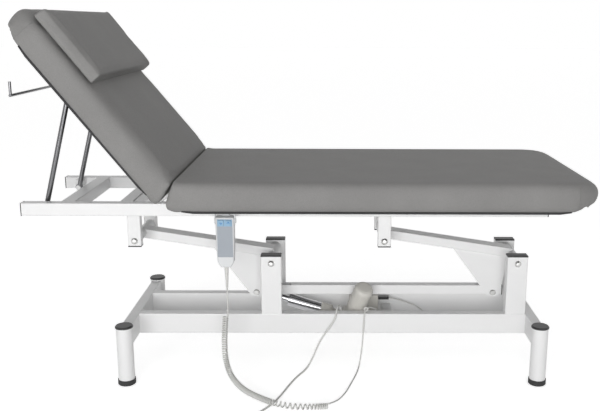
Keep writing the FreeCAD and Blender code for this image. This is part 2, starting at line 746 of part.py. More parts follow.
def rocker_pin(end, x):
    """Lower pin through both V plates, with its heads outside them."""
    name = end + "_rocker_pin"
    body = new_body(name)
    sketch = new_sketch(body, "XY_Plane", "outline")
    reach = size["bar_wide"] / 2 + size["side_gap"] + size["gusset_thickness"]
    radius = size["pin_diameter"] / 2
    draw_polygon(sketch, [
        (ZERO, -(reach + 6)), (radius + 1, -(reach + 6)), (radius + 3, -(reach + 4)),
        (radius + 3, -reach), (radius, -reach), (radius, reach), (radius + 3, reach),
        (radius + 3, reach + 4), (radius + 1, reach + 6), (ZERO, reach + 6)], "p")
    revolve(body, sketch, "V_Axis")
    place(body, x, ZERO, PIN_UP)
    return keep(body, name)


def connecting_bar():
    """Bar between the two lower pins; its head end is a fork for the actuator's eye."""
    name = "connecting_bar"
    length = size["pivot_spacing"] + size["bar_nose"] + size["bar_tail"]
    middle = size["pivot_spacing"] / 2 + (size["bar_tail"] - size["bar_nose"]) / 2
    body = tube_body(name, "X", size["bar_wide"], size["bar_tall"], length, size["tube_wall"])
    fork = new_sketch(body, "XY_Plane", "fork")
    inner = size["bar_wide"] / 2 - size["tube_wall"]
    start = -(length / 2) - 1
    draw_box(fork, start, size["bar_nose"] + size["fork_length"] - length / 2, -inner, inner, "slot")
    pocket_through(body, fork)
    holes = new_sketch(body, "XZ_Plane", "holes")
    bore = size["pin_diameter"] + size["running_gap"] * 2
    draw_circle(holes, -middle, -size["bar_lift"], bore, "head")
    draw_circle(holes, size["pivot_spacing"] - middle, -size["bar_lift"], bore, "foot")
    pocket_through(body, holes)
    place(body, HEAD_PIN + middle, ZERO, PIN_UP + size["bar_lift"])
    keep(body, name)
    cap = tube_cap("connecting_bar_cap", size["bar_tall"], size["bar_wide"], 3.0, 8.0)
    place(cap, FOOT_PIN + size["bar_tail"], ZERO, PIN_UP + size["bar_lift"], (0, 1, 0), 90.0)
    keep(cap, "connecting_bar_cap")


def top_rail(name, side):
    length = size["top_foot_end"] - size["top_head_end"]
    body = tube_body(name, "X", size["top_rail_wide"], size["top_rail_tall"], length,
                     size["tube_wall"])
    middle = (size["top_foot_end"] + size["top_head_end"]) / 2
    place(body, MID + middle, size["top_stance"] * side, TOP_RAIL_MIDDLE)
    return keep(body, name)


def top_cross(name, x, wide):
    body = tube_body(name, "Y", wide, size["top_rail_tall"], TOP_RAIL_INNER * 2,
                     size["tube_wall"])
    place(body, x, ZERO, TOP_RAIL_MIDDLE)
    return body


def hanger_yoke(end, x):
    """Cross tube with the two hanger tubes welded under it."""
    name = end + "_hanger_yoke"
    pieces = [top_cross(name + "_cross", x, size["hanger_wide"])]
    tall = TOP_RAIL_LOW - HANGER_LOW
    middle = HANGER_LOW + tall / 2
    for label, side in (("near", -1.0), ("far", 1.0)):
        tube = tube_body("%s_%s" % (name, label), "Z", size["hanger_wide"], size["hanger_thick"],
                         tall, size["tube_wall"])
        hole = new_sketch(tube, "XZ_Plane", "pivot_hole")
        draw_circle(hole, ZERO, TOP_UP - middle, size["shaft_diameter"], "hole")
        pocket_through(tube, hole)
        place(tube, x, size["hanger_stance"] * side, middle)
        pieces.append(tube)
    return keep(fuse(name, pieces), name)


def top_frame_caps():
    """Black caps: under the hangers and in the ends of the top rails."""
    caps = []
    for label, x in (("head", HEAD_TOP), ("foot", FOOT_TOP)):
        for side, y in (("near", -1.0), ("far", 1.0)):
            cap = tube_cap("hanger_cap_%s_%s" % (label, side), size["hanger_wide"],
                           size["hanger_thick"], size["hanger_cap"], size["plug_depth"] - 10)
            place(cap, x, size["hanger_stance"] * y, HANGER_LOW, (1, 0, 0), 180.0)
            caps.append(cap)
    for label, x, turn in (("head", size["top_head_end"], -90.0), ("foot", size["top_foot_end"], 90.0)):
        for side, y in (("near", -1.0), ("far", 1.0)):
            cap = tube_cap("rail_cap_%s_%s" % (label, side), size["top_rail_tall"],
                           size["top_rail_wide"], size["rail_cap"], size["plug_depth"])
            place(cap, MID + x, size["top_stance"] * y, TOP_RAIL_MIDDLE, (0, 1, 0), turn)
            caps.append(cap)
    return keep(gather("top_frame_caps", caps), "top_frame_caps")


def seat_outline():
    """The seat pad seen from the side: its hinge end leans along the pads' common line."""
    lean = sine(size["backrest_angle"] / 2) / cosine(size["backrest_angle"] / 2)
    gap = size["pad_clear"]
    return [(size["hinge_relief"], PAD_UNDER), (size["hinge_relief"], -2.0),
            (lean * PAD_OVER + gap, PAD_OVER),
            (size["seat_foot_end"] - size["hinge_place"], PAD_OVER),
            (size["seat_foot_end"] - size["hinge_place"], PAD_UNDER)]


def backrest_outline():
    """The same for the backrest pad, lying level with its hinge at the origin."""
    lean = sine(size["backrest_angle"] / 2) / cosine(size["backrest_angle"] / 2)
    gap = size["pad_clear"]
    return [(-size["hinge_relief"], PAD_UNDER), (-size["backrest_length"], PAD_UNDER),
            (-size["backrest_length"], PAD_OVER), (-(lean * PAD_OVER + gap), PAD_OVER),
            (-size["hinge_relief"], -2.0)]


def soft_pad(name, outline, far_x, board):
    """A pad as one closed form, with room in its underside for its board."""
    body = new_body(name)
    sketch = new_sketch(body, "XZ_Plane", "side")
    draw_polygon(sketch, outline, "side")
    pad(body, sketch, size["pad_half_width"] * 2)
    far = as_dim(far_x).number
    round_edges(body, lambda edge: along(edge, (0, 0, 1)) and abs(edge.CenterOfMass.x - far) < 1,
                size["pad_corner"])
    low = PAD_UNDER.number
    high = PAD_OVER.number
    half = size["pad_half_width"].number

    def soft_edge(edge):
        middle = edge.CenterOfMass
        level = abs(middle.z - low) < 0.5 or abs(middle.z - high) < 0.5
        return level and (abs(abs(middle.y) - half) < 1 or abs(middle.x) > abs(far) - 90)

    round_edges(body, soft_edge, size["pad_round"])
    room = new_sketch(body, "XY_Plane", "board_room")
    left, right = board
    clear = size["pad_clear"]
    half_board = size["pad_half_width"] - size["board_inset"] + clear
    draw_box(room, as_dim(left) - clear, as_dim(right) + clear, -half_board, half_board, "room")
    bind(room, "AttachmentOffset.Base.z", PAD_UNDER)
    doc.recompute()
    pocket_blind(body, room, size["board_thickness"], backwards=True)
    return body


def hinge_slots(name, body):
    """Cut room for the hinge eyes into the end of a pad."""
    inner = size["hinge_stance"] - 2
    outer = TOP_RAIL_INNER + 2
    slots = [cylinder_along_y(name + "_slot_near", ZERO, ZERO, size["slot_radius"] * 2, -outer, -inner),
             cylinder_along_y(name + "_slot_far", ZERO, ZERO, size["slot_radius"] * 2, inner, outer)]
    return cut(name, body, fuse(name + "_slots", slots))


def board_body(name, left, right, place_z):
    """A plywood board with rounded corners."""
    body = new_body(name)
    sketch = new_sketch(body, "XY_Plane", "outline")
    half = size["pad_half_width"] - size["board_inset"]
    draw_box(sketch, left, right, -half, half, "board")
    pad(body, sketch, size["board_thickness"], midplane=False)
    bind(sketch, "AttachmentOffset.Base.z", place_z)
    doc.recompute()
    return body


def seat_board_span():
    reach = size["seat_foot_end"] - size["hinge_place"]
    return size["board_inset"] - 6, reach - size["board_inset"]


def backrest_board_span():
    return -(size["backrest_length"] - size["board_inset"]), -(size["board_inset"] - 6)


def corner_cut_board(name, span, rounded_far):
    body = board_body(name, span[0], span[1], BOARD_UNDER)
    far = as_dim(rounded_far).number
    round_edges(body, lambda edge: along(edge, (0, 0, 1)) and abs(edge.CenterOfMass.x - far) < 1,
                size["pad_corner"] - size["board_inset"])
    return body


def seat():
    span = seat_board_span()
    board = corner_cut_board("seat_board", span, span[1])
    place(board, HINGE_X, ZERO, HINGE_UP)
    keep(board, "seat_board")
    far = size["seat_foot_end"] - size["hinge_place"]
    cushion = hinge_slots("seat_cushion", soft_pad("seat_pad", seat_outline(), far, span))
    place(cushion, HINGE_X, ZERO, HINGE_UP)
    keep(cushion, "seat_cushion")


def lean_back(thing):
    """Place a thing drawn for the level backrest at the raised angle of the photo."""
    place(thing, HINGE_X, ZERO, HINGE_UP, (0, 1, 0), size["backrest_angle"])


def backrest():
    span = backrest_board_span()
    board = corner_cut_board("backrest_board", span, span[0])
    lean_back(board)
    keep(board, "backrest_board")
    far = -size["backrest_length"]
    cushion = hinge_slots("backrest_cushion", soft_pad("backrest_pad", backrest_outline(), far, span))
    lean_back(cushion)
    keep(cushion, "backrest_cushion")


def pillow():
    body = new_body("head_pillow")
    sketch = new_sketch(body, "XZ_Plane", "side")
    start = size["pillow_start"]
    low = PAD_OVER + size["pad_clear"]
    draw_box(sketch, -(start + size["pillow_length"]), -start, low, low + size["pillow_thickness"], "p")
    pad(body, sketch, size["pillow_half_width"] * 2)
    round_edges(body, lambda edge: True, 9.0)
    lean_back(body)
    keep(body, "head_pillow")


def hinge_brackets():
    """Plates inside the top rails that carry the backrest pins, one with each pin."""
    pieces = []
    plate = size["hinge_plate"]
    for label, side in (("near", -1.0), ("far", 1.0)):
        body = new_body("hinge_bracket_" + label)
        sketch = new_sketch(body, "XZ_Plane", "outline")
        low = TOP_RAIL_LOW + 6 - HINGE_UP
        shoulder = TOP_RAIL_HIGH - HINGE_UP - 4
        neck = size["hinge_relief"] - 1.5
        eye = size["hinge_eye"]
        draw_polygon(sketch, [(ZERO - 26, low), (ZERO + 26, low), (ZERO + 26, shoulder - 8),
                              (neck, shoulder), (neck, eye - 3), (neck - 2.5, eye),
                              (-neck + 2.5, eye), (-neck, eye - 3), (-neck, shoulder),
                              (ZERO - 26, shoulder - 8)], "ear")
        pad(body, sketch, plate)
        place(body, HINGE_X, (TOP_RAIL_INNER - plate / 2) * side, HINGE_UP)
        inner = size["hinge_stance"] - 2
        outer = TOP_RAIL_INNER - plate / 2
        ends = (-outer, -inner) if side < 0 else (inner, outer)
        pin = cylinder_along_y("hinge_pin_" + label, HINGE_X, HINGE_UP,
                               size["hinge_pin"] - 2, ends[0], ends[1])
        pieces.append(fuse("hinge_ear_" + label, [body, pin]))
    return keep(gather("hinge_brackets", pieces), "hinge_brackets")


def backrest_arms():
    """Goose-neck plates from the hinge pins to the underside of the backrest board."""
    plates = []
    plate = size["hinge_plate"]
    neck = size["hinge_relief"] - 1.0
    under = BOARD_UNDER
    for label, side in (("near", -1.0), ("far", 1.0)):
        body = new_body("backrest_arm_" + label)
        sketch = new_sketch(body, "XZ_Plane", "outline")
        draw_polygon(sketch, [(neck, size["hinge_eye"] - 3), (neck - 2.5, size["hinge_eye"]),
                              (-neck + 2.5, size["hinge_eye"]), (-neck, size["hinge_eye"] - 3),
                              (-neck, under - 0.2), (ZERO - 96, under - 0.2),
                              (ZERO - 96, under - 10), (-neck - 8, under - 18),
                              (neck, under - 18)], "arm")
        pad(body, sketch, plate - size["side_gap"])
        hole = new_sketch(body, "XZ_Plane", "hole")
        bore = size["hinge_pin"] - 2 + size["running_gap"] * 2
        draw_circle(hole, ZERO, ZERO, bore, "pin")
        pocket_through(body, hole)
        place(body, ZERO, (size["hinge_stance"] + plate / 2) * side, ZERO)
        plates.append(body)
    group = gather("backrest_arms", plates)
    lean_back(group)
    return keep(group, "backrest_arms")


def slide_bars():
    """Flat bars under the backrest board that the prop's cross rod runs along."""
    bars = []
    for label, side in (("near", -1.0), ("far", 1.0)):
        body = new_body("slide_bar_" + label)
        sketch = new_sketch(body, "XZ_Plane", "side")
        draw_box(sketch, -size["slide_bar_end"], -size["slide_bar_start"],
                 BOARD_UNDER - size["slide_bar_drop"], BOARD_UNDER, "bar")
        pad(body, sketch, size["slide_bar_wide"])
        round_edges(body, lambda edge: along(edge, (0, 1, 0))
                    and edge.CenterOfMass.z < BOARD_UNDER.number - 1, 3.0)
        place(body, ZERO, size["slide_bar_stance"] * side, ZERO)
        bars.append(body)
    group = gather("slide_bars", bars)
    lean_back(group)
    return keep(group, "slide_bars")


def prop_brackets():
    """A block on the inside of each top rail with the pin that a prop turns on."""
    pieces = []
    inner = size["prop_stance"] + size["prop_rod"] / 2 + size["side_gap"]
    for label, side in (("near", -1.0), ("far", 1.0)):
        block = doc.addObject("Part::Box", "prop_block_" + label)
        bind(block, "Length", size["prop_block_long"])
        bind(block, "Width", TOP_RAIL_INNER - inner)
        bind(block, "Height", size["prop_block_tall"])
        start = inner if side > 0 else -TOP_RAIL_INNER
        place(block, MID + size["prop_place"] - size["prop_block_long"] / 2, start, TOP_RAIL_LOW)
        head = size["prop_stance"] - size["prop_rod"] / 2 - size["side_gap"]
        pin_from, pin_to = (head - 4, inner + 1) if side > 0 else (-(inner + 1), -(head - 4))
        pin = cylinder_along_y("prop_pin_" + label, MID + size["prop_place"], PROP_UP,
                               size["hinge_pin"], pin_from, pin_to)
        rim_from, rim_to = (head - 5, head) if side > 0 else (-head, -(head - 5))
        rim = cylinder_along_y("prop_rim_" + label, MID + size["prop_place"], PROP_UP,
                               size["prop_rod"] + 1, rim_from, rim_to)
        pieces.append(fuse("prop_bracket_" + label, [block, pin, rim]))
    return keep(gather("prop_brackets", pieces), "prop_brackets")


def prop_bail():
    """Two chrome rods with a cross rod at the top, turning on the prop brackets."""
    name = "prop_bail"
    x = MID + size["prop_place"]
    z = PROP_UP
    radius = size["prop_rod"] / 2
    rods = []
    for label, side in (("near", -1.0), ("far", 1.0)):
        rod = doc.addObject("Part::Cylinder", "prop_rod_" + label)
        bind(rod, "Radius", radius)
        bind(rod, "Height", size["prop_length"])
        place(rod, x, size["prop_stance"] * side, z, (0, 1, 0), size["prop_angle"])
        middle = size["prop_stance"] * side
        eye = cylinder_along_y("prop_eye_" + label, x, z, size["prop_eye"],
                               middle - radius, middle + radius)
        rods += [rod, eye]
    top_x = x + size["prop_length"] * sine(size["prop_angle"])
    top_z = z + size["prop_length"] * cosine(size["prop_angle"])
    reach = size["prop_stance"] + radius
    rods.append(cylinder_along_y("prop_cross_rod", top_x, top_z, size["prop_rod"], -reach, reach))
    solid = fuse(name + "_solid", rods)
    reach = reach + 5
    bore = cylinder_along_y(name + "_bore", x, z, size["hinge_pin"] + size["running_gap"] * 2,
                            -reach, reach)
    return keep(cut(name, solid, bore), name)


def roll_holder():
    """Chrome rod for the paper roll, on two legs under the backrest board."""
    rod = size["roll_rod"]
    drop = PAD_UNDER - size["roll_drop"]
    reach = size["roll_leg_far"] + rod / 2
    pieces = [cylinder_along_y("roll_bar", -size["roll_place"], drop, rod, -size["roll_near"], reach)]
    for label, y in (("near", size["roll_leg_near"]), ("far", size["roll_leg_far"])):
        leg = doc.addObject("Part::Cylinder", "roll_leg_" + label)
        bind(leg, "Radius", size["roll_leg"] / 2)
        bind(leg, "Height", BOARD_UNDER - drop)
        place(leg, -size["roll_place"], y, drop)
        foot = doc.addObject("Part::Box", "roll_foot_" + label)
        bind(foot, "Length", size["roll_foot_long"])
        bind(foot, "Width", size["roll_foot_wide"])
        bind(foot, "Height", size["roll_foot_thick"])
        place(foot, -(size["roll_place"] + size["roll_foot_long"] / 2), y - size["roll_foot_wide"] / 2,
              BOARD_UNDER - size["roll_foot_thick"])
        pieces += [leg, foot]
    tip = doc.addObject("Part::Cylinder", "roll_tip")
    bind(tip, "Radius", size["roll_leg"] / 2)
    bind(tip, "Height", size["roll_tip"])
    place(tip, -size["roll_place"], -(size["roll_near"] - rod / 2), drop, (0, 1, 0),
          -size["backrest_angle"])
    pieces.append(tip)
    group = fuse("roll_holder", pieces)
    lean_back(group)
    return keep(group, "roll_holder")


def on_actuator(thing):
    """Place a thing drawn along +X from the front pin onto the actuator's line."""
    place(thing, HEAD_PIN, ZERO, PIN_UP, (0, 1, 0), ACTUATOR_ANGLE)


def rod_along_x(name, diameter, start, end):
    item = doc.addObject("Part::Cylinder", name)
    bind(item, "Radius", as_dim(diameter) / 2)
    bind(item, "Height", as_dim(end) - start)
    place(item, start, ZERO, ZERO, (0, 1, 0), 90.0)
    return item


def actuator_sleeve():
    """Moving half of the actuator: front eye, rod and chrome sleeve."""
    half = size["eye_thick"] / 2
    wall_end = size["sleeve_start"] + 6
    eye = cylinder_along_y("front_eye", ZERO, ZERO, size["front_eye"], -half, half)
    rod = rod_along_x("front_rod", size["front_rod"], ZERO, wall_end)
    shell = rod_along_x("sleeve_shell", size["sleeve_diameter"], size["sleeve_start"],
                        size["sleeve_end"] - size["collar_length"] / 2)
    solid = fuse("sleeve_solid", [eye, rod, shell])
    bore = rod_along_x("sleeve_hollow", size["sleeve_bore"], wall_end, size["sleeve_end"] + 5)
    pin = cylinder_along_y("front_eye_bore", ZERO, ZERO,
                           size["pin_diameter"] + size["running_gap"] * 2, -(half + 5), half + 5)
    body = cut("actuator_sleeve", solid, fuse("sleeve_cuts", [bore, pin]))
    on_actuator(body)
    keep(body, "actuator_sleeve")
    ring = new_body("sleeve_collar")
    sketch = new_sketch(ring, "XY_Plane", "outline")
    inner = size["sleeve_bore"] / 2
    seat = size["sleeve_diameter"] / 2 + size["fit_gap"]
    outer = size["collar_diameter"] / 2
    start = size["sleeve_end"] - size["collar_length"]
    middle = size["sleeve_end"] - size["collar_length"] / 2
    draw_polygon(sketch, [(start, seat), (middle + size["fit_gap"], seat),
                          (middle + size["fit_gap"], inner), (size["sleeve_end"], inner),
                          (size["sleeve_end"], outer - 3), (size["sleeve_end"] - 3, outer),
                          (start + 2, outer), (start, outer - 2)], "p")
    revolve(ring, sketch, "H_Axis")
    on_actuator(ring)
    keep(ring, "sleeve_collar")


def actuator_stem():
    item = rod_along_x("stem_solid", size["stem_diameter"], size["stem_start"], size["stem_end"])
    hollow = rod_along_x("stem_hollow", size["stem_diameter"] - size["stem_wall"] * 2, size["stem_start"] - 5,
                         size["stem_end"] + 5)
    body = cut("actuator_stem", item, hollow)
    on_actuator(body)
    return keep(body, "actuator_stem")


def motor_axis():
    """Where the motor's axis meets the actuator's line."""
    return size["stem_end"] + size["gearbox_length"] / 2


def gear_housing():
    """Gear housing with the rear tail and eye of the actuator."""
    body = new_body("gear_block")
    sketch = new_sketch(body, "YZ_Plane", "section")
    draw_centred_box(sketch, size["gearbox_wide"], size["gearbox_tall"], "block")
    pad(body, sketch, size["gearbox_length"])
    round_edges(body, lambda edge: True, 8.0)
    place(body, motor_axis(), ZERO, ZERO)
    half = size["eye_thick"] / 2
    tail = rod_along_x("rear_rod", size["front_rod"],
                       size["stem_end"] + size["gearbox_length"] - 4, size["actuator_length"])
    eye = cylinder_along_y("rear_eye", size["actuator_length"], ZERO, size["front_eye"] + 2, -half, half)
    neck = doc.addObject("Part::Cylinder", "motor_neck")
    bind(neck, "Radius", size["motor_diameter"] / 2 - 4)
    bind(neck, "Height", size["gearbox_tall"] / 2 + 14)
    place(neck, motor_axis(), ZERO, ZERO, (1, 0, 0), size["motor_lean"])
    solid = fuse("gear_solid", [body, tail, eye, neck])
    reach = half + 5
    pin = cylinder_along_y("rear_eye_bore", size["actuator_length"], ZERO,
                           size["pin_diameter"] + size["running_gap"] * 2, -reach, reach)
    housing = cut("gear_housing", solid, pin)
    on_actuator(housing)
    return keep(housing, "gear_housing")


def motor():
    """Motor can with a domed top, leaning towards the camera side."""
    radius = size["motor_diameter"] / 2
    start = size["gearbox_tall"] / 2 + 14
    top = size["motor_length"]
    dome = size["motor_dome"]
    body = turned_body("motor_can", [
        (ZERO, start), (radius, start), (radius, top - dome), (radius - dome * 0.1, top - dome * 0.6),
        (radius - dome * 0.35, top - dome * 0.25), (radius - dome * 0.8, top - dome * 0.05),
        (ZERO, top)])
    place(body, motor_axis(), ZERO, ZERO, (1, 0, 0), size["motor_lean"])
    group = gather("motor", [body])
    on_actuator(group)
    return keep(group, "motor")


def control_box():
    """Box with the electronics on the far rail, and the plug of the handset in its end."""
    body = new_body("control_case")
    sketch = new_sketch(body, "XZ_Plane", "front")
    draw_centred_box(sketch, size["box_long"], size["box_tall"], "box")
    pad(body, sketch, size["box_wide"])
    round_edges(body, lambda edge: edge.CenterOfMass.y < as_dim(size["box_wide"]).number / 2 - 1, 4.0)
    middle = size["box_low"] + size["box_tall"] / 2
    place(body, MID + size["box_place"] + size["box_long"] / 2, RAIL_INNER - size["box_wide"] / 2,
          middle)
    keep(body, "control_box")
    plug = doc.addObject("Part::Box", "handset_plug")
    bind(plug, "Length", size["plug_long"])
    bind(plug, "Width", size["plug_wide"])
    bind(plug, "Height", size["plug_tall"])
    place(plug, MID + size["box_place"] + size["box_long"],
          RAIL_INNER - size["box_wide"] / 2 - size["plug_wide"] / 2,
          size["box_low"] + size["plug_up"] - size["plug_tall"] / 2)
    keep(plug, "handset_plug")


def mains_gland():
    """Cable gland on the near side of the gear housing."""
    face = size["gearbox_wide"] / 2
    item = cylinder_along_y("gland_solid", motor_axis() - size["gland_back"], -size["gland_drop"],
                            size["gland_diameter"], -(face + size["gland_out"]), -face)
    block = gather("mains_gland", [item])
    on_actuator(block)
    return keep(block, "mains_gland")


def actuator_bearer():
    """Cross tube between the base rails with the clevis for the actuator's rear pin."""
    pin_x = HEAD_PIN + size["actuator_length"] * cosine(ACTUATOR_ANGLE)
    pin_z = REAR_PIN_UP
    tube_x = pin_x + size["bearer_back"]
    tube = size["bearer_tube"]
    cross = tube_body("bearer_cross", "Y", tube, tube, RAIL_INNER * 2, size["tube_wall"])
    place(cross, tube_x, ZERO, size["base_tube_bottom"] + tube / 2)
    half = size["eye_thick"] / 2 + size["side_gap"]
    pieces = [cross]
    for label, side in (("near", -1.0), ("far", 1.0)):
        cheek = new_body("bearer_cheek_" + label)
        sketch = new_sketch(cheek, "XZ_Plane", "outline")
        low = size["base_tube_bottom"] - pin_z
        draw_polygon(sketch, [(as_dim(-14.0), as_dim(-12.0)), (as_dim(10.0), as_dim(-14.0)),
                              (as_dim(36.0), low), (as_dim(11.0), low),
                              (as_dim(11.0), low + 20), (as_dim(-2.0), low + 8),
                              (as_dim(-14.0), as_dim(10.0))], "cheek")
        pad(cheek, sketch, size["cheek_thick"])
        hole = new_sketch(cheek, "XZ_Plane", "hole")
        draw_circle(hole, ZERO, ZERO, size["pin_diameter"], "pin")
        pocket_through(cheek, hole)
        place(cheek, pin_x, (half + size["cheek_thick"] / 2) * side, pin_z)
        pieces.append(cheek)
    keep(fuse("actuator_bearer", pieces), "actuator_bearer")
    pin = new_body("actuator_pin")
    sketch = new_sketch(pin, "XY_Plane", "outline")
    reach = half + 5
    radius = size["pin_diameter"] / 2
    draw_polygon(sketch, [(ZERO, -(reach + 5)), (radius + 3, -(reach + 5)), (radius + 3, -reach),
                          (radius, -reach), (radius, reach), (radius + 3, reach),
                          (radius + 3, reach + 5), (ZERO, reach + 5)], "p")
    revolve(pin, sketch, "V_Axis")
    place(pin, pin_x, ZERO, pin_z)
    keep(pin, "actuator_pin")


def key_spots():
    """The two keys side by side, from the middle of the handset."""
    return [("down", -(size["button_pitch"] / 2)), ("up", size["button_pitch"] / 2)]


def handset():
    """Handset shell with its hook, label panel and two buttons."""
    wide = size["handset_wide"]
    x = MID + size["handset_place"]
    low = HANDSET_LOW
    body = new_body("handset_shell")
    sketch = new_sketch(body, "XZ_Plane", "front")
    half = wide / 2
    chin = low + 30
    draw_polygon(sketch, [(-(half - 12), low), (half - 12, low), (half - 3, chin - 14),
                          (half - 1.5, chin + 20), (half, HANDSET_TOP),
                          (-half, HANDSET_TOP), (-(half - 1.5), chin + 20),
                          (-(half - 3), chin - 14)], "front")
    pad(body, sketch, size["handset_thick"])
    round_edges(body, lambda edge: True, 4.0)
    front = size["handset_thick"] / 2
    recess = new_sketch(body, "XZ_Plane", "panel_recess")
    edge_gap = size["panel_inset"] - size["fit_gap"]
    draw_box(recess, -(half - edge_gap), half - edge_gap, chin + 5 - size["panel_inset"] - size["fit_gap"],
             HANDSET_TOP - edge_gap, "recess")
    bind(recess, "AttachmentOffset.Base.z", front)
    doc.recompute()
    pocket_blind(body, recess, size["panel_thick"])
    wells = new_sketch(body, "XZ_Plane", "button_wells")
    across = size["button_wide"] + size["fit_gap"] * 6
    for label, x_key in key_spots():
        draw_box(wells, x_key - across / 2, x_key + across / 2, BUTTON_UP - across / 2,
                 BUTTON_UP + across / 2, label)
    bind(wells, "AttachmentOffset.Base.z", front)
    doc.recompute()
    pocket_blind(body, wells, as_dim(9.0))
    y = -(size["handset_back"] + front)
    place(body, x, y, ZERO)
    hook = new_body("handset_hook")
    profile = new_sketch(hook, "YZ_Plane", "profile")
    rail_face = size["top_stance"] + size["top_rail_wide"] / 2 + 0.3
    back = size["handset_back"] + 5
    plate = rail_face + size["holder_thick"]
    high = HANDSET_TOP + size["holder_over"]
    draw_polygon(profile, [
        (-back, HANDSET_TOP - 14), (-rail_face, HANDSET_TOP - 14), (-rail_face, high),
        (-plate, high), (-plate, HANDSET_TOP + 4), (-back, HANDSET_TOP + 4)], "hook")
    return body, hook, profile


def finish_handset():
    body, hook, profile = handset()
    x = MID + size["handset_place"]
    pad(hook, profile, size["holder_wide"])
    place(hook, x, ZERO, ZERO)
    shell = fuse("handset_body", [body, hook])
    keep(shell, "handset_body")
    half = size["handset_wide"] / 2
    low = HANDSET_LOW
    front = size["handset_back"] + size["handset_thick"]
    inset = size["panel_inset"]
    panel = new_body("handset_panel")
    sketch = new_sketch(panel, "XZ_Plane", "outline")
    draw_box(sketch, -(half - inset), half - inset, low + 35 - inset, HANDSET_TOP - inset,
             "panel")
    hole = size["button_wide"] + size["fit_gap"] * 6
    for label, x_key in key_spots():
        draw_box(sketch, x_key - hole / 2, x_key + hole / 2, BUTTON_UP - hole / 2,
                 BUTTON_UP + hole / 2, label)
    pad(panel, sketch, size["panel_thick"] - 0.05, midplane=False)
    place(panel, x, -(front - size["panel_thick"]), ZERO)
    keep(panel, "handset_panel")
    for label, x_key in key_spots():
        name = "button_" + label
        button = new_body(name)
        face = new_sketch(button, "XZ_Plane", "face")
        draw_centred_box(face, size["button_wide"], size["button_wide"], "face")
        pad(button, face, size["button_stand"] + 6, midplane=False)
        round_edges(button, lambda edge: along(edge, (0, 1, 0)), 2.5)
        place(button, x + x_key, -(front - 6), BUTTON_UP)
        keep(button, name)


# room between two cord pieces, or a cord and the piece that it leaves
JOIN_GAP = 0.5


def bent_path(points):
    """Straight runs joined by tangent arcs, with the radii of the bends."""
    edges = []
    last = points[0]
    bends = []
    for i in range(1, len(points) - 1):
        before = (points[i - 1] - points[i])
        after = (points[i + 1] - points[i])
        turn = math.pi - before.getAngle(after)
        reach = 0.45 * min(before.Length, after.Length)
        radius = reach / math.tan(turn / 2)
        bends.append(round(radius, 1))
        start = points[i] + before.normalize() * reach
        end = points[i] + after.normalize() * reach
        inward = (before + after).normalize()
        centre = points[i] + inward * (radius / math.cos(turn / 2))
        middle = centre - inward * radius
        edges.append(Part.LineSegment(last, start).toShape())
        edges.append(Part.Arc(start, middle, end).toShape())
        last = end
    edges.append(Part.LineSegment(last, points[-1]).toShape())
    return Part.Wire(edges), bends


def cord(name, points, diameter):
    """A cord as a round tube along its way; the ways are read from the sheet's sizes."""
    wire, bends = bent_path([FreeCAD.Vector(*point) for point in points])
    start = wire.Edges[0].firstVertex().Point
    tangent = wire.Edges[0].tangentAt(wire.Edges[0].FirstParameter)
    ring = Part.Wire(Part.makeCircle(diameter / 2, start, tangent))
    tube = wire.makePipeShell([ring], True, True)
    if not tube.isValid():
        raise ValueError("bad cord " + name)
    expected = math.pi * diameter * diameter / 4 * wire.Length
    print(name, "bends", bends, "length", round(wire.Length, 1),
          "volume share", round(tube.Volume / expected, 4))
    item = doc.addObject("Part::Feature", name)
    item.Shape = Part.Solid(tube.Shells[0]) if tube.Solids == [] else tube.Solids[0]
    item.Placement = FreeCAD.Placement()
    return keep(item, name)


def curled_cord_way(x):
    """The curled cord: from under the handset down to the floor and along it."""
    y = -(size["handset_back"].number + size["handset_thick"].number / 2)
    low = size["curl_diameter"].number / 2 + size["floor_gap"].number
    under = size["cord_diameter"].number + 1
    return [(x - 6, y - 3, 204), (x - 14, y - 5, 120), (x - 2, y - 22, 48), (x + 36, y - 62, low),
            (x + 88, y - 118, low + under), (x + 146, y - 160, low + under),
            (x + 216, y - 168, low), (x + 282, y - 158, low)]


def handset_lead_way(mid, start):
    """The thin cord: along the floor, up over the near rail and round to the control box."""
    tail = size["tail_diameter"].number
    low = tail / 2 + size["floor_gap"].number
    rail = -(RAIL_OUTER.number + tail + 1)
    over = BASE_TOP.number + tail * 2
    plug_x = mid + size["box_place"].number + size["box_long"].number + size["plug_long"].number
    plug_y = RAIL_INNER.number - size["box_wide"].number / 2
    plug_z = size["box_low"].number + size["plug_up"].number
    return [start, (mid + 12, start[1] + 38, low), (mid + 36, -290, low), (mid + 54, -225, low),
            (mid + 70, -165, low), (mid + 80, rail - 3, low + 4), (mid + 88, rail, 66),
            (mid + 91, rail, 120), (mid + 93, rail, over), (mid + 105, -77, over),
            (mid + 123, -52, 166), (mid + 143, -40, 150), (mid + 190, -32, 145),
            (plug_x + 84, plug_y - 76, 124), (plug_x + 118, plug_y - 46, 114),
            (plug_x + 110, plug_y - 8, 120), (plug_x + 68, plug_y + 3, 144),
            (plug_x, plug_y, plug_z)]


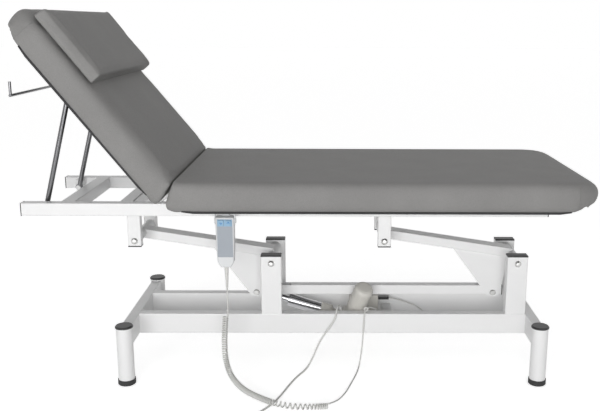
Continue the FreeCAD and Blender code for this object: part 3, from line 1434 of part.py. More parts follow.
def mains_way(mid):
    """The mains cable: out of the gland, over the near rail, down and along the floor."""
    cable = size["cord_diameter"].number
    low = cable / 2 + size["floor_gap"].number
    rail = -(RAIL_OUTER.number + cable + 1)
    angle = math.radians(ACTUATOR_ANGLE.number)
    reach = motor_axis().number - size["gland_back"].number
    drop = size["gland_drop"].number
    x = HEAD_PIN.number + reach * math.cos(angle) - drop * math.sin(angle)
    y = -(size["gearbox_wide"].number / 2 + size["gland_out"].number + JOIN_GAP)
    z = PIN_UP.number - reach * math.sin(angle) - drop * math.cos(angle)
    coil_x = mid + size["coil_place"].number
    coil_y = -size["coil_out"].number
    coil_edge = size["coil_radius"].number + size["coil_thick"].number / 2 + cable / 2 + 0.3
    return [(x, y, z), (x - 2, y - 33, z + 4), (mid + 29, -66, 154), (mid + 20, -80, 186),
            (mid + 12, -107, 187), (mid + 8, rail - 2, 152), (mid - 16, rail, 118),
            (mid - 40, rail, 80), (mid - 56, rail - 1, 38), (mid - 76, rail - 18, low),
            (mid - 104, -186, low), (mid - 124, -244, low), (mid - 146, -318, low),
            (mid - 170, -372, low), (mid - 206, -420, low),
            (coil_x - 0.55 * coil_edge, coil_y + 0.835 * coil_edge, low + 6)]


def build_cords():
    """All the cords; the ways follow the photo and start from the pieces they leave."""
    mid = MID.number
    x = mid + size["handset_place"].number
    y = -(size["handset_back"].number + size["handset_thick"].number / 2)
    relief_low = HANDSET_LOW.number - size["relief_long"].number
    way = curled_cord_way(x)
    tail = size["tail_diameter"].number
    meet = (way[0][0], way[0][1], way[0][2] + JOIN_GAP)
    cord("handset_tail", [(x, y, relief_low - 0.6), (x - 3, y - 1, relief_low - 39), meet], tail)
    cord("handset_curl", way, size["curl_diameter"].number)
    start = (way[-1][0] + tail / 2, way[-1][1] + JOIN_GAP, tail / 2 + size["floor_gap"].number)
    cord("handset_lead", handset_lead_way(mid, start), tail)
    cord("mains_cable", mains_way(mid), size["cord_diameter"].number)
    ring = doc.addObject("Part::Torus", "mains_coil")
    bind(ring, "Radius1", size["coil_radius"])
    bind(ring, "Radius2", size["coil_thick"] / 2)
    place(ring, MID + size["coil_place"], -size["coil_out"], size["coil_thick"] / 2 + size["floor_gap"])
    keep(ring, "mains_coil")


def cord_relief():
    """Bend relief under the handset, a tapered rubber sleeve."""
    low = HANDSET_LOW
    cone = doc.addObject("Part::Cone", "cord_relief")
    bind(cone, "Radius1", size["relief_low_end"] / 2)
    bind(cone, "Radius2", size["relief_high_end"] / 2)
    bind(cone, "Height", size["relief_long"])
    place(cone, MID + size["handset_place"], -(size["handset_back"] + size["handset_thick"] / 2),
          low - size["relief_long"])
    return keep(cone, "cord_relief")


def mains_plug():
    """A plain mains plug body with two pins, lying beside the coil."""
    body = doc.addObject("Part::Box", "mains_plug_body")
    long = size["mains_plug_long"]
    bind(body, "Length", long)
    bind(body, "Width", size["mains_plug_wide"])
    bind(body, "Height", size["mains_plug_tall"])
    x = MID + size["coil_place"] + size["coil_radius"] + size["coil_thick"] / 2 + size["pad_clear"]
    place(body, x, -(size["coil_out"] + size["mains_plug_wide"] / 2), size["floor_gap"])
    pins = []
    for index, side in enumerate((-1.0, 1.0)):
        pin = doc.addObject("Part::Cylinder", "mains_pin_%d" % index)
        bind(pin, "Radius", size["mains_pin"] / 2)
        bind(pin, "Height", size["mains_pin_long"] + 2)
        place(pin, x + long - 2, size["mains_pin_pitch"] / 2 * side - size["coil_out"],
              size["floor_gap"] + size["mains_plug_tall"] / 2, (0, 1, 0), 90.0)
        pins.append(pin)
    return keep(fuse("mains_plug", [body] + pins), "mains_plug")


def cable_tie():
    """Tie that holds the spare cord ends together where they cross the near rail."""
    tie = doc.addObject("Part::Torus", "cable_tie")
    bind(tie, "Radius1", size["tie_inside"] + size["tie_thick"] / 2)
    bind(tie, "Radius2", size["tie_thick"] / 2)
    place(tie, MID + size["tie_place"], -(RAIL_OUTER - size["tie_in"]),
          BASE_TOP + size["tail_diameter"] * 2, (1, 0, 0), 90.0)
    return keep(tie, "cable_tie")


def check_and_write():
    """Every object and every sub-part must be sound before the files are written."""
    doc.recompute()
    for item in doc.Objects:
        if "Invalid" in item.State or "Error" in item.State:
            raise ValueError("not sound: " + item.Label + " " + str(item.State))
    os.makedirs("parts", exist_ok=True)
    for item in sub_parts:
        shape = item.Shape
        if shape.isNull() or not shape.isValid() or not shape.Solids:
            raise ValueError("bad shape: " + item.Label)
        shape.exportStep("parts/" + item.Label + ".step")
        box = shape.optimalBoundingBox(False, False)
        print("%-24s solids %d  x %.1f..%.1f  y %.1f..%.1f  z %.1f..%.1f" % (
            item.Label, len(shape.Solids), box.XMin, box.XMax, box.YMin, box.YMax, box.ZMin, box.ZMax))
    print(len(sub_parts), "sub-parts written")


def build_base():
    base_rail("base_rail_near", -1.0)
    base_rail("base_rail_far", 1.0)
    base_end("base_end_head", -1.0)
    base_end("base_end_foot", 1.0)
    leg_caps()
    feet()
    posts("head")
    posts("foot")
    post_caps()
    pivot_shafts("post_shafts", [("head", HEAD_PIVOT, PIVOT_UP), ("foot", FOOT_PIVOT, PIVOT_UP)],
                 RAIL_OUTER)
    actuator_bearer()
    control_box()


def build_lift():
    for end, pivot in (("head", HEAD_PIVOT), ("foot", FOOT_PIVOT)):
        rocker_arm(end, pivot)
        rocker_plates(end, pivot)
        rocker_pin(end, pivot - size["pin_back"])
    connecting_bar()
    gear_housing()
    motor()
    mains_gland()
    actuator_stem()
    actuator_sleeve()


def build_top():
    top_rail("top_rail_near", -1.0)
    top_rail("top_rail_far", 1.0)
    keep(top_cross("prop_cross_tube", MID + size["prop_cross_place"], size["prop_cross_wide"]),
         "prop_cross_tube")
    keep(top_cross("foot_cross_tube", MID + size["top_foot_end"] - size["foot_cross_back"],
                   size["foot_cross_wide"]), "foot_cross_tube")
    hanger_yoke("head", HEAD_TOP)
    hanger_yoke("foot", FOOT_TOP)
    top_frame_caps()
    pivot_shafts("hanger_shafts", [("head", HEAD_TOP, TOP_UP), ("foot", FOOT_TOP, TOP_UP)],
                 HANGER_OUTER)
    hinge_brackets()
    prop_brackets()
    seat()


def build_backrest():
    backrest()
    pillow()
    backrest_arms()
    slide_bars()
    roll_holder()
    prop_bail()


build_base()
build_lift()
build_top()
build_backrest()
finish_handset()
cord_relief()
build_cords()
mains_plug()
cable_tie()
check_and_write()
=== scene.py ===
"""Looks of the electric massage table: upholstery, cords, finishes, stage and camera.

Run as a script in Blender 4.5. Sizes are in metres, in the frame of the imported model.
"""

import json
import math

import bmesh
import bpy
from mathutils import Matrix, Vector


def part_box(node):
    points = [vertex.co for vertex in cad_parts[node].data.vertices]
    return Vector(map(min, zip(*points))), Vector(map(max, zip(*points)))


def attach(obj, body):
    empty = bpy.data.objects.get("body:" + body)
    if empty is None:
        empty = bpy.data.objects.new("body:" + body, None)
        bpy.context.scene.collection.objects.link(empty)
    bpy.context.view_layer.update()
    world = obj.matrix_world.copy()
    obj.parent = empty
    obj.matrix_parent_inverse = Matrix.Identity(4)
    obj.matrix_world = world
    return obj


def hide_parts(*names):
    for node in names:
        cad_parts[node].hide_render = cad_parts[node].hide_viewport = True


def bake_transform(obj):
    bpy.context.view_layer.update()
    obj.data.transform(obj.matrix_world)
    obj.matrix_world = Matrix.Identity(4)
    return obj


bl_info = {
    "name": "Massage table looks",
    "version": (1, 0, 0),
    "blender": (4, 5, 0),
    "location": "3D View > Sidebar > Massage table",
    "description": "Dresses the packed massage table with upholstery, cords, finishes and a stage",
    "category": "Object",
}

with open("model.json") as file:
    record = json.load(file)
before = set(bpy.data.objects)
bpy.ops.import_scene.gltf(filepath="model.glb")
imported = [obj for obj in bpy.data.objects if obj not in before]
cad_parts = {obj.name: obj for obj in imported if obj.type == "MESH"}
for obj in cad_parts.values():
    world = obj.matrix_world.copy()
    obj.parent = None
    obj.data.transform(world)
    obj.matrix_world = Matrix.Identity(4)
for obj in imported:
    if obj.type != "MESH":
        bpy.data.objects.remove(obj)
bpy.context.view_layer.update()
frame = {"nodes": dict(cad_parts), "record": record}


def middle(node):
    """Middle of a CAD node at rest."""
    low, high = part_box(node)
    return (low + high) / 2


BASE_X = middle("base_rail_near").x
RAIL_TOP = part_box("base_rail_near")[1].z
RAIL_FACE = -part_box("base_rail_near")[0].y
HINGE = Vector((BASE_X - 0.443, 0.0, 0.548))
BACKREST_ANGLE = math.radians(51.6)
BACKREST_LENGTH = 0.605
PAD_SHRINK = 0.003


# settings that a user would change


class UpholsterySettings(bpy.types.PropertyGroup):
    colour: bpy.props.FloatVectorProperty(
        name="Leather colour", description="Colour of the faux leather", subtype="COLOR",
        size=3, min=0.0, max=1.0, default=(0.262, 0.258, 0.253))
    voxel: bpy.props.FloatProperty(
        name="Pad mesh step", description="Mesh step of the two large pads", unit="LENGTH",
        default=0.008, min=0.003)
    pillow_voxel: bpy.props.FloatProperty(
        name="Pillow mesh step", description="Mesh step of the head pillow", unit="LENGTH",
        default=0.005, min=0.003)
    pressure: bpy.props.FloatProperty(
        name="Filling pressure", description="Pressure that fills the pads out", default=4.0)
    lip: bpy.props.FloatProperty(
        name="Lip", description="How far the padded edge hangs under the board", unit="LENGTH",
        default=0.010)
    swell: bpy.props.FloatProperty(
        name="Largest swell", description="Most that a point of a pad may move", unit="LENGTH",
        default=0.007)


class FinishSettings(bpy.types.PropertyGroup):
    coat_colour: bpy.props.FloatVectorProperty(
        name="Frame coat", description="Colour of the powder coat", subtype="COLOR",
        size=3, min=0.0, max=1.0, default=(0.82, 0.82, 0.82))
    cap_colour: bpy.props.FloatVectorProperty(
        name="Caps", description="Colour of the plastic caps", subtype="COLOR",
        size=3, min=0.0, max=1.0, default=(0.022, 0.022, 0.023))
    motor_colour: bpy.props.FloatVectorProperty(
        name="Motor", description="Colour of the motor and gear housing", subtype="COLOR",
        size=3, min=0.0, max=1.0, default=(0.60, 0.585, 0.545))
    cord_colour: bpy.props.FloatVectorProperty(
        name="Cords", description="Colour of the cords", subtype="COLOR",
        size=3, min=0.0, max=1.0, default=(0.62, 0.62, 0.60))


class CordSettings(bpy.types.PropertyGroup):
    wire: bpy.props.FloatProperty(
        name="Curled wire", description="Diameter of the wire in the curled part",
        unit="LENGTH", default=0.0042)
    curl: bpy.props.FloatProperty(
        name="Curl", description="Outside diameter of the curled part", unit="LENGTH",
        default=0.0178)
    mains: bpy.props.FloatProperty(
        name="Mains cable", description="Diameter of the mains cable", unit="LENGTH",
        default=0.0055)
    coil_turns: bpy.props.FloatProperty(
        name="Turns put away", description="Turns of the put-away coil", default=7.44, max=7.9)


class StageSettings(bpy.types.PropertyGroup):
    world_light: bpy.props.FloatProperty(
        name="Room light", description="Strength of the light from all sides", default=0.36)
    front_light: bpy.props.FloatProperty(
        name="Front light", description="Power of the soft light by the camera", unit="POWER",
        default=110.0)
    top_light: bpy.props.FloatProperty(
        name="Top light", description="Power of the soft light overhead", unit="POWER",
        default=3.0)


def settings(kind):
    return getattr(bpy.context.scene, "table_" + kind)


# small tools for shader nodes


class Graph:
    """A node tree with short calls to add and join nodes."""

    def __init__(self, tree):
        self.tree = tree

    def add(self, kind, values=None, **properties):
        made = self.tree.nodes.new(kind)
        for name, value in properties.items():
            setattr(made, name, value)
        for name, value in (values or {}).items():
            made.inputs[name].default_value = value
        return made

    def join(self, start, end):
        self.tree.links.new(start, end)

    def math(self, operation, first, second):
        made = self.add("ShaderNodeMath", operation=operation)
        for socket, value in zip(made.inputs, (first, second)):
            if isinstance(value, bpy.types.NodeSocket):
                self.join(value, socket)
            else:
                socket.default_value = value
        return made.outputs[0]


def new_group(name, inputs, outputs):
    """A shader node group with float inputs (name, default) and float outputs."""
    tree = bpy.data.node_groups.new(name, "ShaderNodeTree")
    for label, value in inputs:
        socket = tree.interface.new_socket(label, in_out="INPUT", socket_type="NodeSocketFloat")
        socket.default_value = value
    for label in outputs:
        tree.interface.new_socket(label, in_out="OUTPUT", socket_type="NodeSocketFloat")
    graph = Graph(tree)
    return tree, graph, graph.add("NodeGroupInput"), graph.add("NodeGroupOutput")


def fine_surface_group():
    """Fine texture and slow tone changes of coats, plastics, rubber and metal."""
    tree, graph, given, result = new_group(
        "Fine surface", [("Grain", 900.0), ("Tone scale", 5.0)], ["Height", "Tone", "Speckle"])
    place = graph.add("ShaderNodeTexCoord")
    grain = graph.add("ShaderNodeTexNoise", {"Detail": 3.0, "Roughness": 0.55})
    graph.join(place.outputs["Object"], grain.inputs["Vector"])
    graph.join(given.outputs["Grain"], grain.inputs["Scale"])
    tone = graph.add("ShaderNodeTexNoise", {"Detail": 4.0, "Roughness": 0.6})
    graph.join(place.outputs["Object"], tone.inputs["Vector"])
    graph.join(given.outputs["Tone scale"], tone.inputs["Scale"])
    speckle = graph.add("ShaderNodeMapRange", {"From Min": 0.62, "From Max": 0.74})
    graph.join(grain.outputs["Fac"], speckle.inputs["Value"])
    graph.join(grain.outputs["Fac"], result.inputs["Height"])
    graph.join(tone.outputs["Fac"], result.inputs["Tone"])
    graph.join(speckle.outputs["Result"], result.inputs["Speckle"])
    return tree


def leather_group():
    """Pebble grain of faux leather with fine creases, slow changes of tone, and a mask of the
    grain's valleys for painted shade.
    """
    tree, graph, given, result = new_group(
        "Leather grain", [("Pebble", 430.0), ("Crease", 0.35), ("Tone scale", 6.0)],
        ["Height", "Tone", "Valley"])
    place = graph.add("ShaderNodeTexCoord")
    drift = graph.add("ShaderNodeTexNoise", {"Scale": 60.0, "Detail": 2.0})
    graph.join(place.outputs["Object"], drift.inputs["Vector"])
    moved = graph.add("ShaderNodeMix", {"Factor": 0.012}, data_type="VECTOR")
    graph.join(place.outputs["Object"], moved.inputs["A"])
    graph.join(drift.outputs["Color"], moved.inputs["B"])
    pebble = graph.add("ShaderNodeTexVoronoi", {"Randomness": 0.95}, feature="DISTANCE_TO_EDGE")
    graph.join(moved.outputs["Result"], pebble.inputs["Vector"])
    graph.join(given.outputs["Pebble"], pebble.inputs["Scale"])
    dome = graph.add("ShaderNodeMapRange", {"From Min": 0.0, "From Max": 0.22})
    graph.join(pebble.outputs["Distance"], dome.inputs["Value"])
    crease = graph.add("ShaderNodeTexNoise", {"Scale": 130.0, "Detail": 5.0, "Roughness": 0.65})
    graph.join(place.outputs["Object"], crease.inputs["Vector"])
    creased = graph.math("MULTIPLY", crease.outputs["Fac"], given.outputs["Crease"])
    height = graph.math("ADD", dome.outputs["Result"], creased)
    tone = graph.add("ShaderNodeTexNoise", {"Detail": 5.0, "Roughness": 0.55})
    graph.join(place.outputs["Object"], tone.inputs["Vector"])
    graph.join(given.outputs["Tone scale"], tone.inputs["Scale"])
    # Mask of the grain's valleys, where shade is painted.
    valley = graph.math("SUBTRACT", 1.0, dome.outputs["Result"])
    graph.join(height, result.inputs["Height"])
    graph.join(tone.outputs["Fac"], result.inputs["Tone"])
    graph.join(valley, result.inputs["Valley"])
    return tree


def shared_group(name, maker):
    return bpy.data.node_groups.get(name) or maker()


def new_material(name):
    """A material with its Principled BSDF; the node graph comes back with it."""
    made = bpy.data.materials.new(name)
    made.use_nodes = True
    graph = Graph(made.node_tree)
    return made, graph, made.node_tree.nodes["Principled BSDF"]


def shade(colour, factor):
    return (*(min(1.0, c * factor) for c in colour), 1.0)


def tone_mix(graph, value, dark, light):
    """A colour that drifts between two tones with a 0 to 1 value."""
    steep = graph.add("ShaderNodeMapRange", {"From Min": 0.3, "From Max": 0.7})
    graph.join(value, steep.inputs["Value"])
    mixed = graph.add("ShaderNodeMix", data_type="RGBA")
    graph.join(steep.outputs["Result"], mixed.inputs["Factor"])
    mixed.inputs["A"].default_value = dark
    mixed.inputs["B"].default_value = light
    return mixed.outputs["Result"]


def spread(graph, value, low, high):
    """Map a 0 to 1 value to a range, for roughness."""
    made = graph.add("ShaderNodeMapRange", {"To Min": low, "To Max": high})
    graph.join(value, made.inputs["Value"])
    return made.outputs["Result"]


def bump(graph, height, shader, strength, distance):
    made = graph.add("ShaderNodeBump", {"Strength": strength, "Distance": distance})
    graph.join(height, made.inputs["Height"])
    graph.join(made.outputs["Normal"], shader.inputs["Normal"])


def fine_material(name, colour, roughness, metallic=0.0, grain=900.0, tone_scale=5.0, depth=0.0002,
                  strength=0.3, contrast=0.05, coat=0.0):
    """A coat, plastic, rubber or metal with fine texture and slow tone changes."""
    made, graph, shader = new_material(name)
    surface = graph.add("ShaderNodeGroup",
                        node_tree=shared_group("Fine surface", fine_surface_group))
    surface.inputs["Grain"].default_value = grain
    surface.inputs["Tone scale"].default_value = tone_scale
    colour_out = tone_mix(graph, surface.outputs["Tone"], shade(colour, 1 - contrast),
                          shade(colour, 1 + contrast))
    graph.join(colour_out, shader.inputs["Base Color"])
    graph.join(spread(graph, surface.outputs["Tone"], roughness * 0.85, roughness * 1.15),
               shader.inputs["Roughness"])
    shader.inputs["Metallic"].default_value = metallic
    shader.inputs["Coat Weight"].default_value = coat
    bump(graph, surface.outputs["Height"], shader, strength, depth)
    return made


def leather_material():
    colour = tuple(settings("upholstery").colour)
    made, graph, shader = new_material("grey_leather")
    grain = graph.add("ShaderNodeGroup", node_tree=shared_group("Leather grain", leather_group))
    base = tone_mix(graph, grain.outputs["Tone"], shade(colour, 0.93), shade(colour, 1.07))
    # Painted shade: the grain's valleys are made darker by half of the valley mask.
    valley_shade = graph.add("ShaderNodeMix", data_type="RGBA", blend_type="MULTIPLY")
    valley_shade.inputs["B"].default_value = (0.72, 0.72, 0.72, 1.0)
    graph.join(graph.math("MULTIPLY", grain.outputs["Valley"], 0.5), valley_shade.inputs["Factor"])
    graph.join(base, valley_shade.inputs["A"])
    graph.join(valley_shade.outputs["Result"], shader.inputs["Base Color"])
    graph.join(spread(graph, grain.outputs["Tone"], 0.55, 0.66), shader.inputs["Roughness"])
    shader.inputs["Specular IOR Level"].default_value = 0.2
    bump(graph, grain.outputs["Height"], shader, 0.45, 0.0005)
    return made


MAKERS = {
    "frame_white": lambda: fine_material(
        "powder_coat", settings("finish").coat_colour, 0.36, grain=620.0, strength=0.16,
        depth=0.0003, contrast=0.012, coat=0.15),
    "black_plastic": lambda: fine_material(
        "cap_plastic", settings("finish").cap_colour, 0.42, grain=1400.0, contrast=0.2),
    "black_rubber": lambda: fine_material(
        "foot_rubber", settings("finish").cap_colour, 0.72, grain=700.0, contrast=0.25,
        strength=0.5),
    "zinc_steel": lambda: fine_material(
        "zinc_plate", (0.55, 0.55, 0.54), 0.34, metallic=1.0, grain=300.0, strength=0.1),
    "chrome_steel": lambda: fine_material(
        "chrome", (0.42, 0.42, 0.43), 0.16, metallic=1.0, grain=120.0, strength=0.03,
        contrast=0.05),
    "motor_grey": lambda: fine_material(
        "motor_shell", settings("finish").motor_colour, 0.45, grain=1100.0, contrast=0.03),
    # The boards' near-black colour is painted shade for the dark gap under the pads, dressed as a
    # black underside cloth.
    "plywood": lambda: fine_material("board_painted_shade", (0.028, 0.028, 0.03), 0.85, grain=500.0,
                                     contrast=0.2, strength=0.5),
    "handset_white": lambda: fine_material(
        "handset_plastic", (0.66, 0.67, 0.68), 0.38, grain=1500.0, contrast=0.02),
    "panel_grey": lambda: fine_material(
        "membrane_film", (0.33, 0.36, 0.40), 0.3, grain=1800.0, strength=0.1, contrast=0.04),
    "button_blue": lambda: fine_material(
        "key_film", (0.25, 0.42, 0.58), 0.32, grain=1800.0, strength=0.1, contrast=0.05),
    "cord_grey": lambda: fine_material(
        "cord_sheath", settings("finish").cord_colour, 0.42, grain=900.0, contrast=0.03),
}


def slot_material(name):
    """The material for one of the record's slots, made once."""
    store = bpy.data.materials.get("slot_" + name)
    if store is None:
        store = MAKERS[name]()
        store.name = "slot_" + name
    return store


def paint(thing, material):
    if thing.material_slots:
        for place in thing.material_slots:
            place.material = material
    else:
        thing.data.materials.append(material)


def dress_nodes(slot_name):
    """Give each CAD node of a slot its finish."""
    for part in frame["record"]["subparts"]:
        if part["material_slot"] == slot_name:
            paint(frame["nodes"][part["node"]], slot_material(slot_name))


# small tools for meshes


def object_from(name, data):
    made = bpy.data.objects.new(name, data)
    bpy.context.scene.collection.objects.link(made)
    return made


def mesh_object(name, bm, smooth=True):
    data = bpy.data.meshes.new(name)
    bm.to_mesh(data)
    bm.free()
    if smooth:
        for face in data.polygons:
            face.use_smooth = True
    return object_from(name, data)


def make_active(thing):
    bpy.ops.object.select_all(action="DESELECT")
    thing.select_set(True)
    bpy.context.view_layer.objects.active = thing


def apply_modifier(thing, modifier):
    make_active(thing)
    bpy.ops.object.modifier_apply(modifier=modifier.name)


def nurbs_line(name, points):
    """A NURBS spline with the route's points as its control points, without thickness."""
    data = bpy.data.curves.new(name, "CURVE")
    data.dimensions = "3D"
    data.resolution_u = 6
    spline = data.splines.new("NURBS")
    spline.points.add(len(points) - 1)
    for point, place in zip(spline.points, points):
        point.co = (*place, 1.0)
    spline.order_u = 3
    spline.use_endpoint_u = True
    return object_from(name, data)


def line_of(thing):
    """The points along a curve with no thickness, in order."""
    bpy.context.view_layer.update()
    data = bpy.data.meshes.new_from_object(thing)
    places = [v.co.copy() for v in data.vertices]
    bpy.data.meshes.remove(data)
    return places


def length_of(places):
    return sum((b - a).length for a, b in zip(places, places[1:]))


def evenly(places, step):
    """Points at an even step along a line of points."""
    found = [places[0].copy()]
    left = step
    for a, b in zip(places, places[1:]):
        run = (b - a).length
        at = left
        while at < run:
            found.append(a.lerp(b, at / run))
            at += step
        left = at - run
    return found


def heading(line, i):
    """The direction of a line of points at one of them."""
    return (line[min(i + 1, len(line) - 1)] - line[max(i - 1, 0)]).normalized()


def sideways(forward, side):
    """Two directions across a heading, the first as near as can be to the last one."""
    side = (side - forward * side.dot(forward)).normalized()
    return side, forward.cross(side)


def skin(bm, rings):
    """Faces between neighbouring rings of points, and over both ends."""
    for first, second in zip(rings, rings[1:]):
        count = len(first)
        for k in range(count):
            bm.faces.new((first[k], first[(k + 1) % count], second[(k + 1) % count], second[k]))
    bm.faces.new(list(reversed(rings[0])))
    bm.faces.new(rings[-1])


def part_way(value, start, reach):
    """How much of the reach past the start a value has gone, from 0 to 1."""
    return min(1.0, max(0.0, (value - start) / reach))


# upholstery


BACK_UNDER, BACK_TOP = -0.0257, 0.054  # faces of the backrest's pad, from the hinge's level
BOARD_INSET = 0.026                    # from the pad's head end to its board
HELD_END = 0.03                        # part of a pad at the hinge that keeps its shape
BULGE_EASE = 0.08
END_REACH = 0.05
SIDE_REACH = 0.03
SIDE_BULGE = 0.004
LIP_START, LIP_EASE = 0.005, 0.03
LIP_WIDTH, LIP_HEIGHT = 0.010, 0.045
SHADE_BAND_OUT = 0.012                       # from the board's side to the band of painted shade under it
SHADE_BAND_RISE = 0.004
SEAM_INSET = 0.058
SEAM_STEPS = 16
SEAM_FOOT = 0.006
RAY_START = 0.1


def soft_pad(name, node, voxel, swell, held, shape, droop=None):
    """Fill a copy of a CAD pad out with cloth and pressure.

    held(point) keeps points still, and shape(point) gives how far the padding moves there.
    droop(point) gives the place that a point of the finished pad sinks to.
    """
    pad = object_from(name, frame["nodes"][node].data.copy())
    pad.data.materials.clear()
    bm = bmesh.new()
    bm.from_mesh(pad.data)
    bmesh.ops.remove_doubles(bm, verts=bm.verts, dist=1e-5)
    bm.to_mesh(pad.data)
    bm.free()
    remesh = pad.modifiers.new("remesh", "REMESH")
    remesh.mode = "VOXEL"
    remesh.voxel_size = voxel
    apply_modifier(pad, remesh)
    relax(pad, [not held(v.co) for v in pad.data.vertices], 6)
    for vertex, normal in [(v, v.normal.copy()) for v in pad.data.vertices]:
        if not held(vertex.co):
            vertex.co -= normal * PAD_SHRINK
    start = [v.co.copy() for v in pad.data.vertices]
    still = [held(place) for place in start]
    fill_pad(pad, still)
    for vertex, place, fixed in zip(pad.data.vertices, start, still):
        move = vertex.co - place
        if fixed:
            vertex.co = place
        elif move.length > swell:
            vertex.co = place + move.normalized() * swell
    for vertex, place, fixed in zip(pad.data.vertices, start, still):
        if not fixed:
            vertex.co += shape(place)
    relax(pad, [not fixed for fixed in still], 5)
    finer = pad.modifiers.new("finer", "SUBSURF")
    finer.levels = finer.render_levels = 1
    apply_modifier(pad, finer)
    if droop:
        for vertex in pad.data.vertices:
            vertex.co = droop(vertex.co.copy())
    for face in pad.data.polygons:
        face.use_smooth = True
    paint(pad, bpy.data.materials.get("grey_leather") or leather_material())
    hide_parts(node)
    return pad


def relax(pad, free, rounds):
    """Smooth the free points of a pad."""
    chosen = pad.vertex_groups.new(name="free")
    chosen.add([i for i, loose in enumerate(free) if loose], 1.0, "REPLACE")
    modifier = pad.modifiers.new("relax", "SMOOTH")
    modifier.factor = 0.5
    modifier.iterations = rounds
    modifier.vertex_group = "free"
    apply_modifier(pad, modifier)
    pad.vertex_groups.clear()


def fill_pad(pad, still):
    """Run the cloth with pressure and keep its result."""
    pinned = pad.vertex_groups.new(name="held")
    pinned.add([i for i, fixed in enumerate(still) if fixed], 1.0, "REPLACE")
    cloth = pad.modifiers.new("filling", "CLOTH")
    cloth.settings.quality = 4
    cloth.settings.use_pressure = True
    cloth.settings.uniform_pressure_force = settings("upholstery").pressure
    cloth.settings.tension_stiffness = 12.0
    cloth.settings.bending_stiffness = 2.0
    cloth.settings.vertex_group_mass = "held"
    cloth.settings.effector_weights.gravity = 0.0
    cloth.point_cache.frame_start = 1
    cloth.point_cache.frame_end = 20
    for step in range(1, 21):
        bpy.context.scene.frame_set(step)
    apply_modifier(pad, cloth)
    bpy.context.scene.frame_set(1)


def backrest_frame(point):
    """A point as the level backrest has it: along (from the hinge to the head), across, up."""
    from_hinge = point - HINGE
    along = -(from_hinge.x * math.cos(BACKREST_ANGLE) - from_hinge.z * math.sin(BACKREST_ANGLE))
    up = from_hinge.x * math.sin(BACKREST_ANGLE) + from_hinge.z * math.cos(BACKREST_ANGLE)
    return along, from_hinge.y, up


def from_backrest(along, across, up):
    """The other way round: a point from its place on the level backrest."""
    x = -along * math.cos(BACKREST_ANGLE) + up * math.sin(BACKREST_ANGLE)
    z = along * math.sin(BACKREST_ANGLE) + up * math.cos(BACKREST_ANGLE)
    return HINGE + Vector((x, across, z))


def crown(part):
    """0 at both edges, 1 in the middle, for a part of the way from 0 to 1."""
    return max(0.0, 1.0 - (2.0 * min(1.0, max(0.0, part)) - 1.0) ** 2)


def end_push(part, out):
    """How far the free end stands out: most at mid height, drawn in at the top edge."""
    over = 2.0 * min(1.0, max(0.0, part)) - 1.0
    return out - (out + 0.012) * over * over if over > 0 else out * (1.0 - over * over)


def lip_depth(above, beyond, depth):
    """How far the padding round the board's edge sinks, from its height and place."""
    return depth * part_way(beyond, 0.0, LIP_WIDTH) * max(0.0, 1.0 - max(0.0, above) / LIP_HEIGHT)


def painted_shade_band(name, line, body):
    """Painted shade under a board's edge: a dark band, taller than wide, that stands for the
    shadow under the pad's lower edge.
    """
    bm = bmesh.new()
    rings = []
    for i, place in enumerate(line):
        forward = heading(line, i)
        up = Vector((0, 0, 1)) if body == "top_frame" else (from_backrest(0, 0, 1) - HINGE)
        out = forward.cross(up).normalized()
        up = out.cross(forward).normalized()
        rings.append([bm.verts.new(place + out * 0.003 * math.cos(a) + up * 0.0034 * math.sin(a))
                      for a in (math.pi / 4 * k for k in range(8))])
    skin(bm, rings)
    bmesh.ops.recalc_face_normals(bm, faces=bm.faces)
    dark_band = mesh_object(name, bm)
    # The dark rubber colour of this band is painted shade under the pad.
    paint(dark_band, slot_material("black_rubber"))
    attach(dark_band, body)


def seam_on(pad, name, starts, aim, body):
    """A fine welt laid on a pad, along the points where rays towards the pad meet it."""
    line = []
    for place in starts:
        found, spot, normal, index = pad.ray_cast(place, aim)
        if found:
            line.append(spot + normal * 0.0002)
    welt = tube_along(name, line, 0.0022, sides=6)
    paint(welt, bpy.data.materials["grey_leather"])
    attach(welt, body)


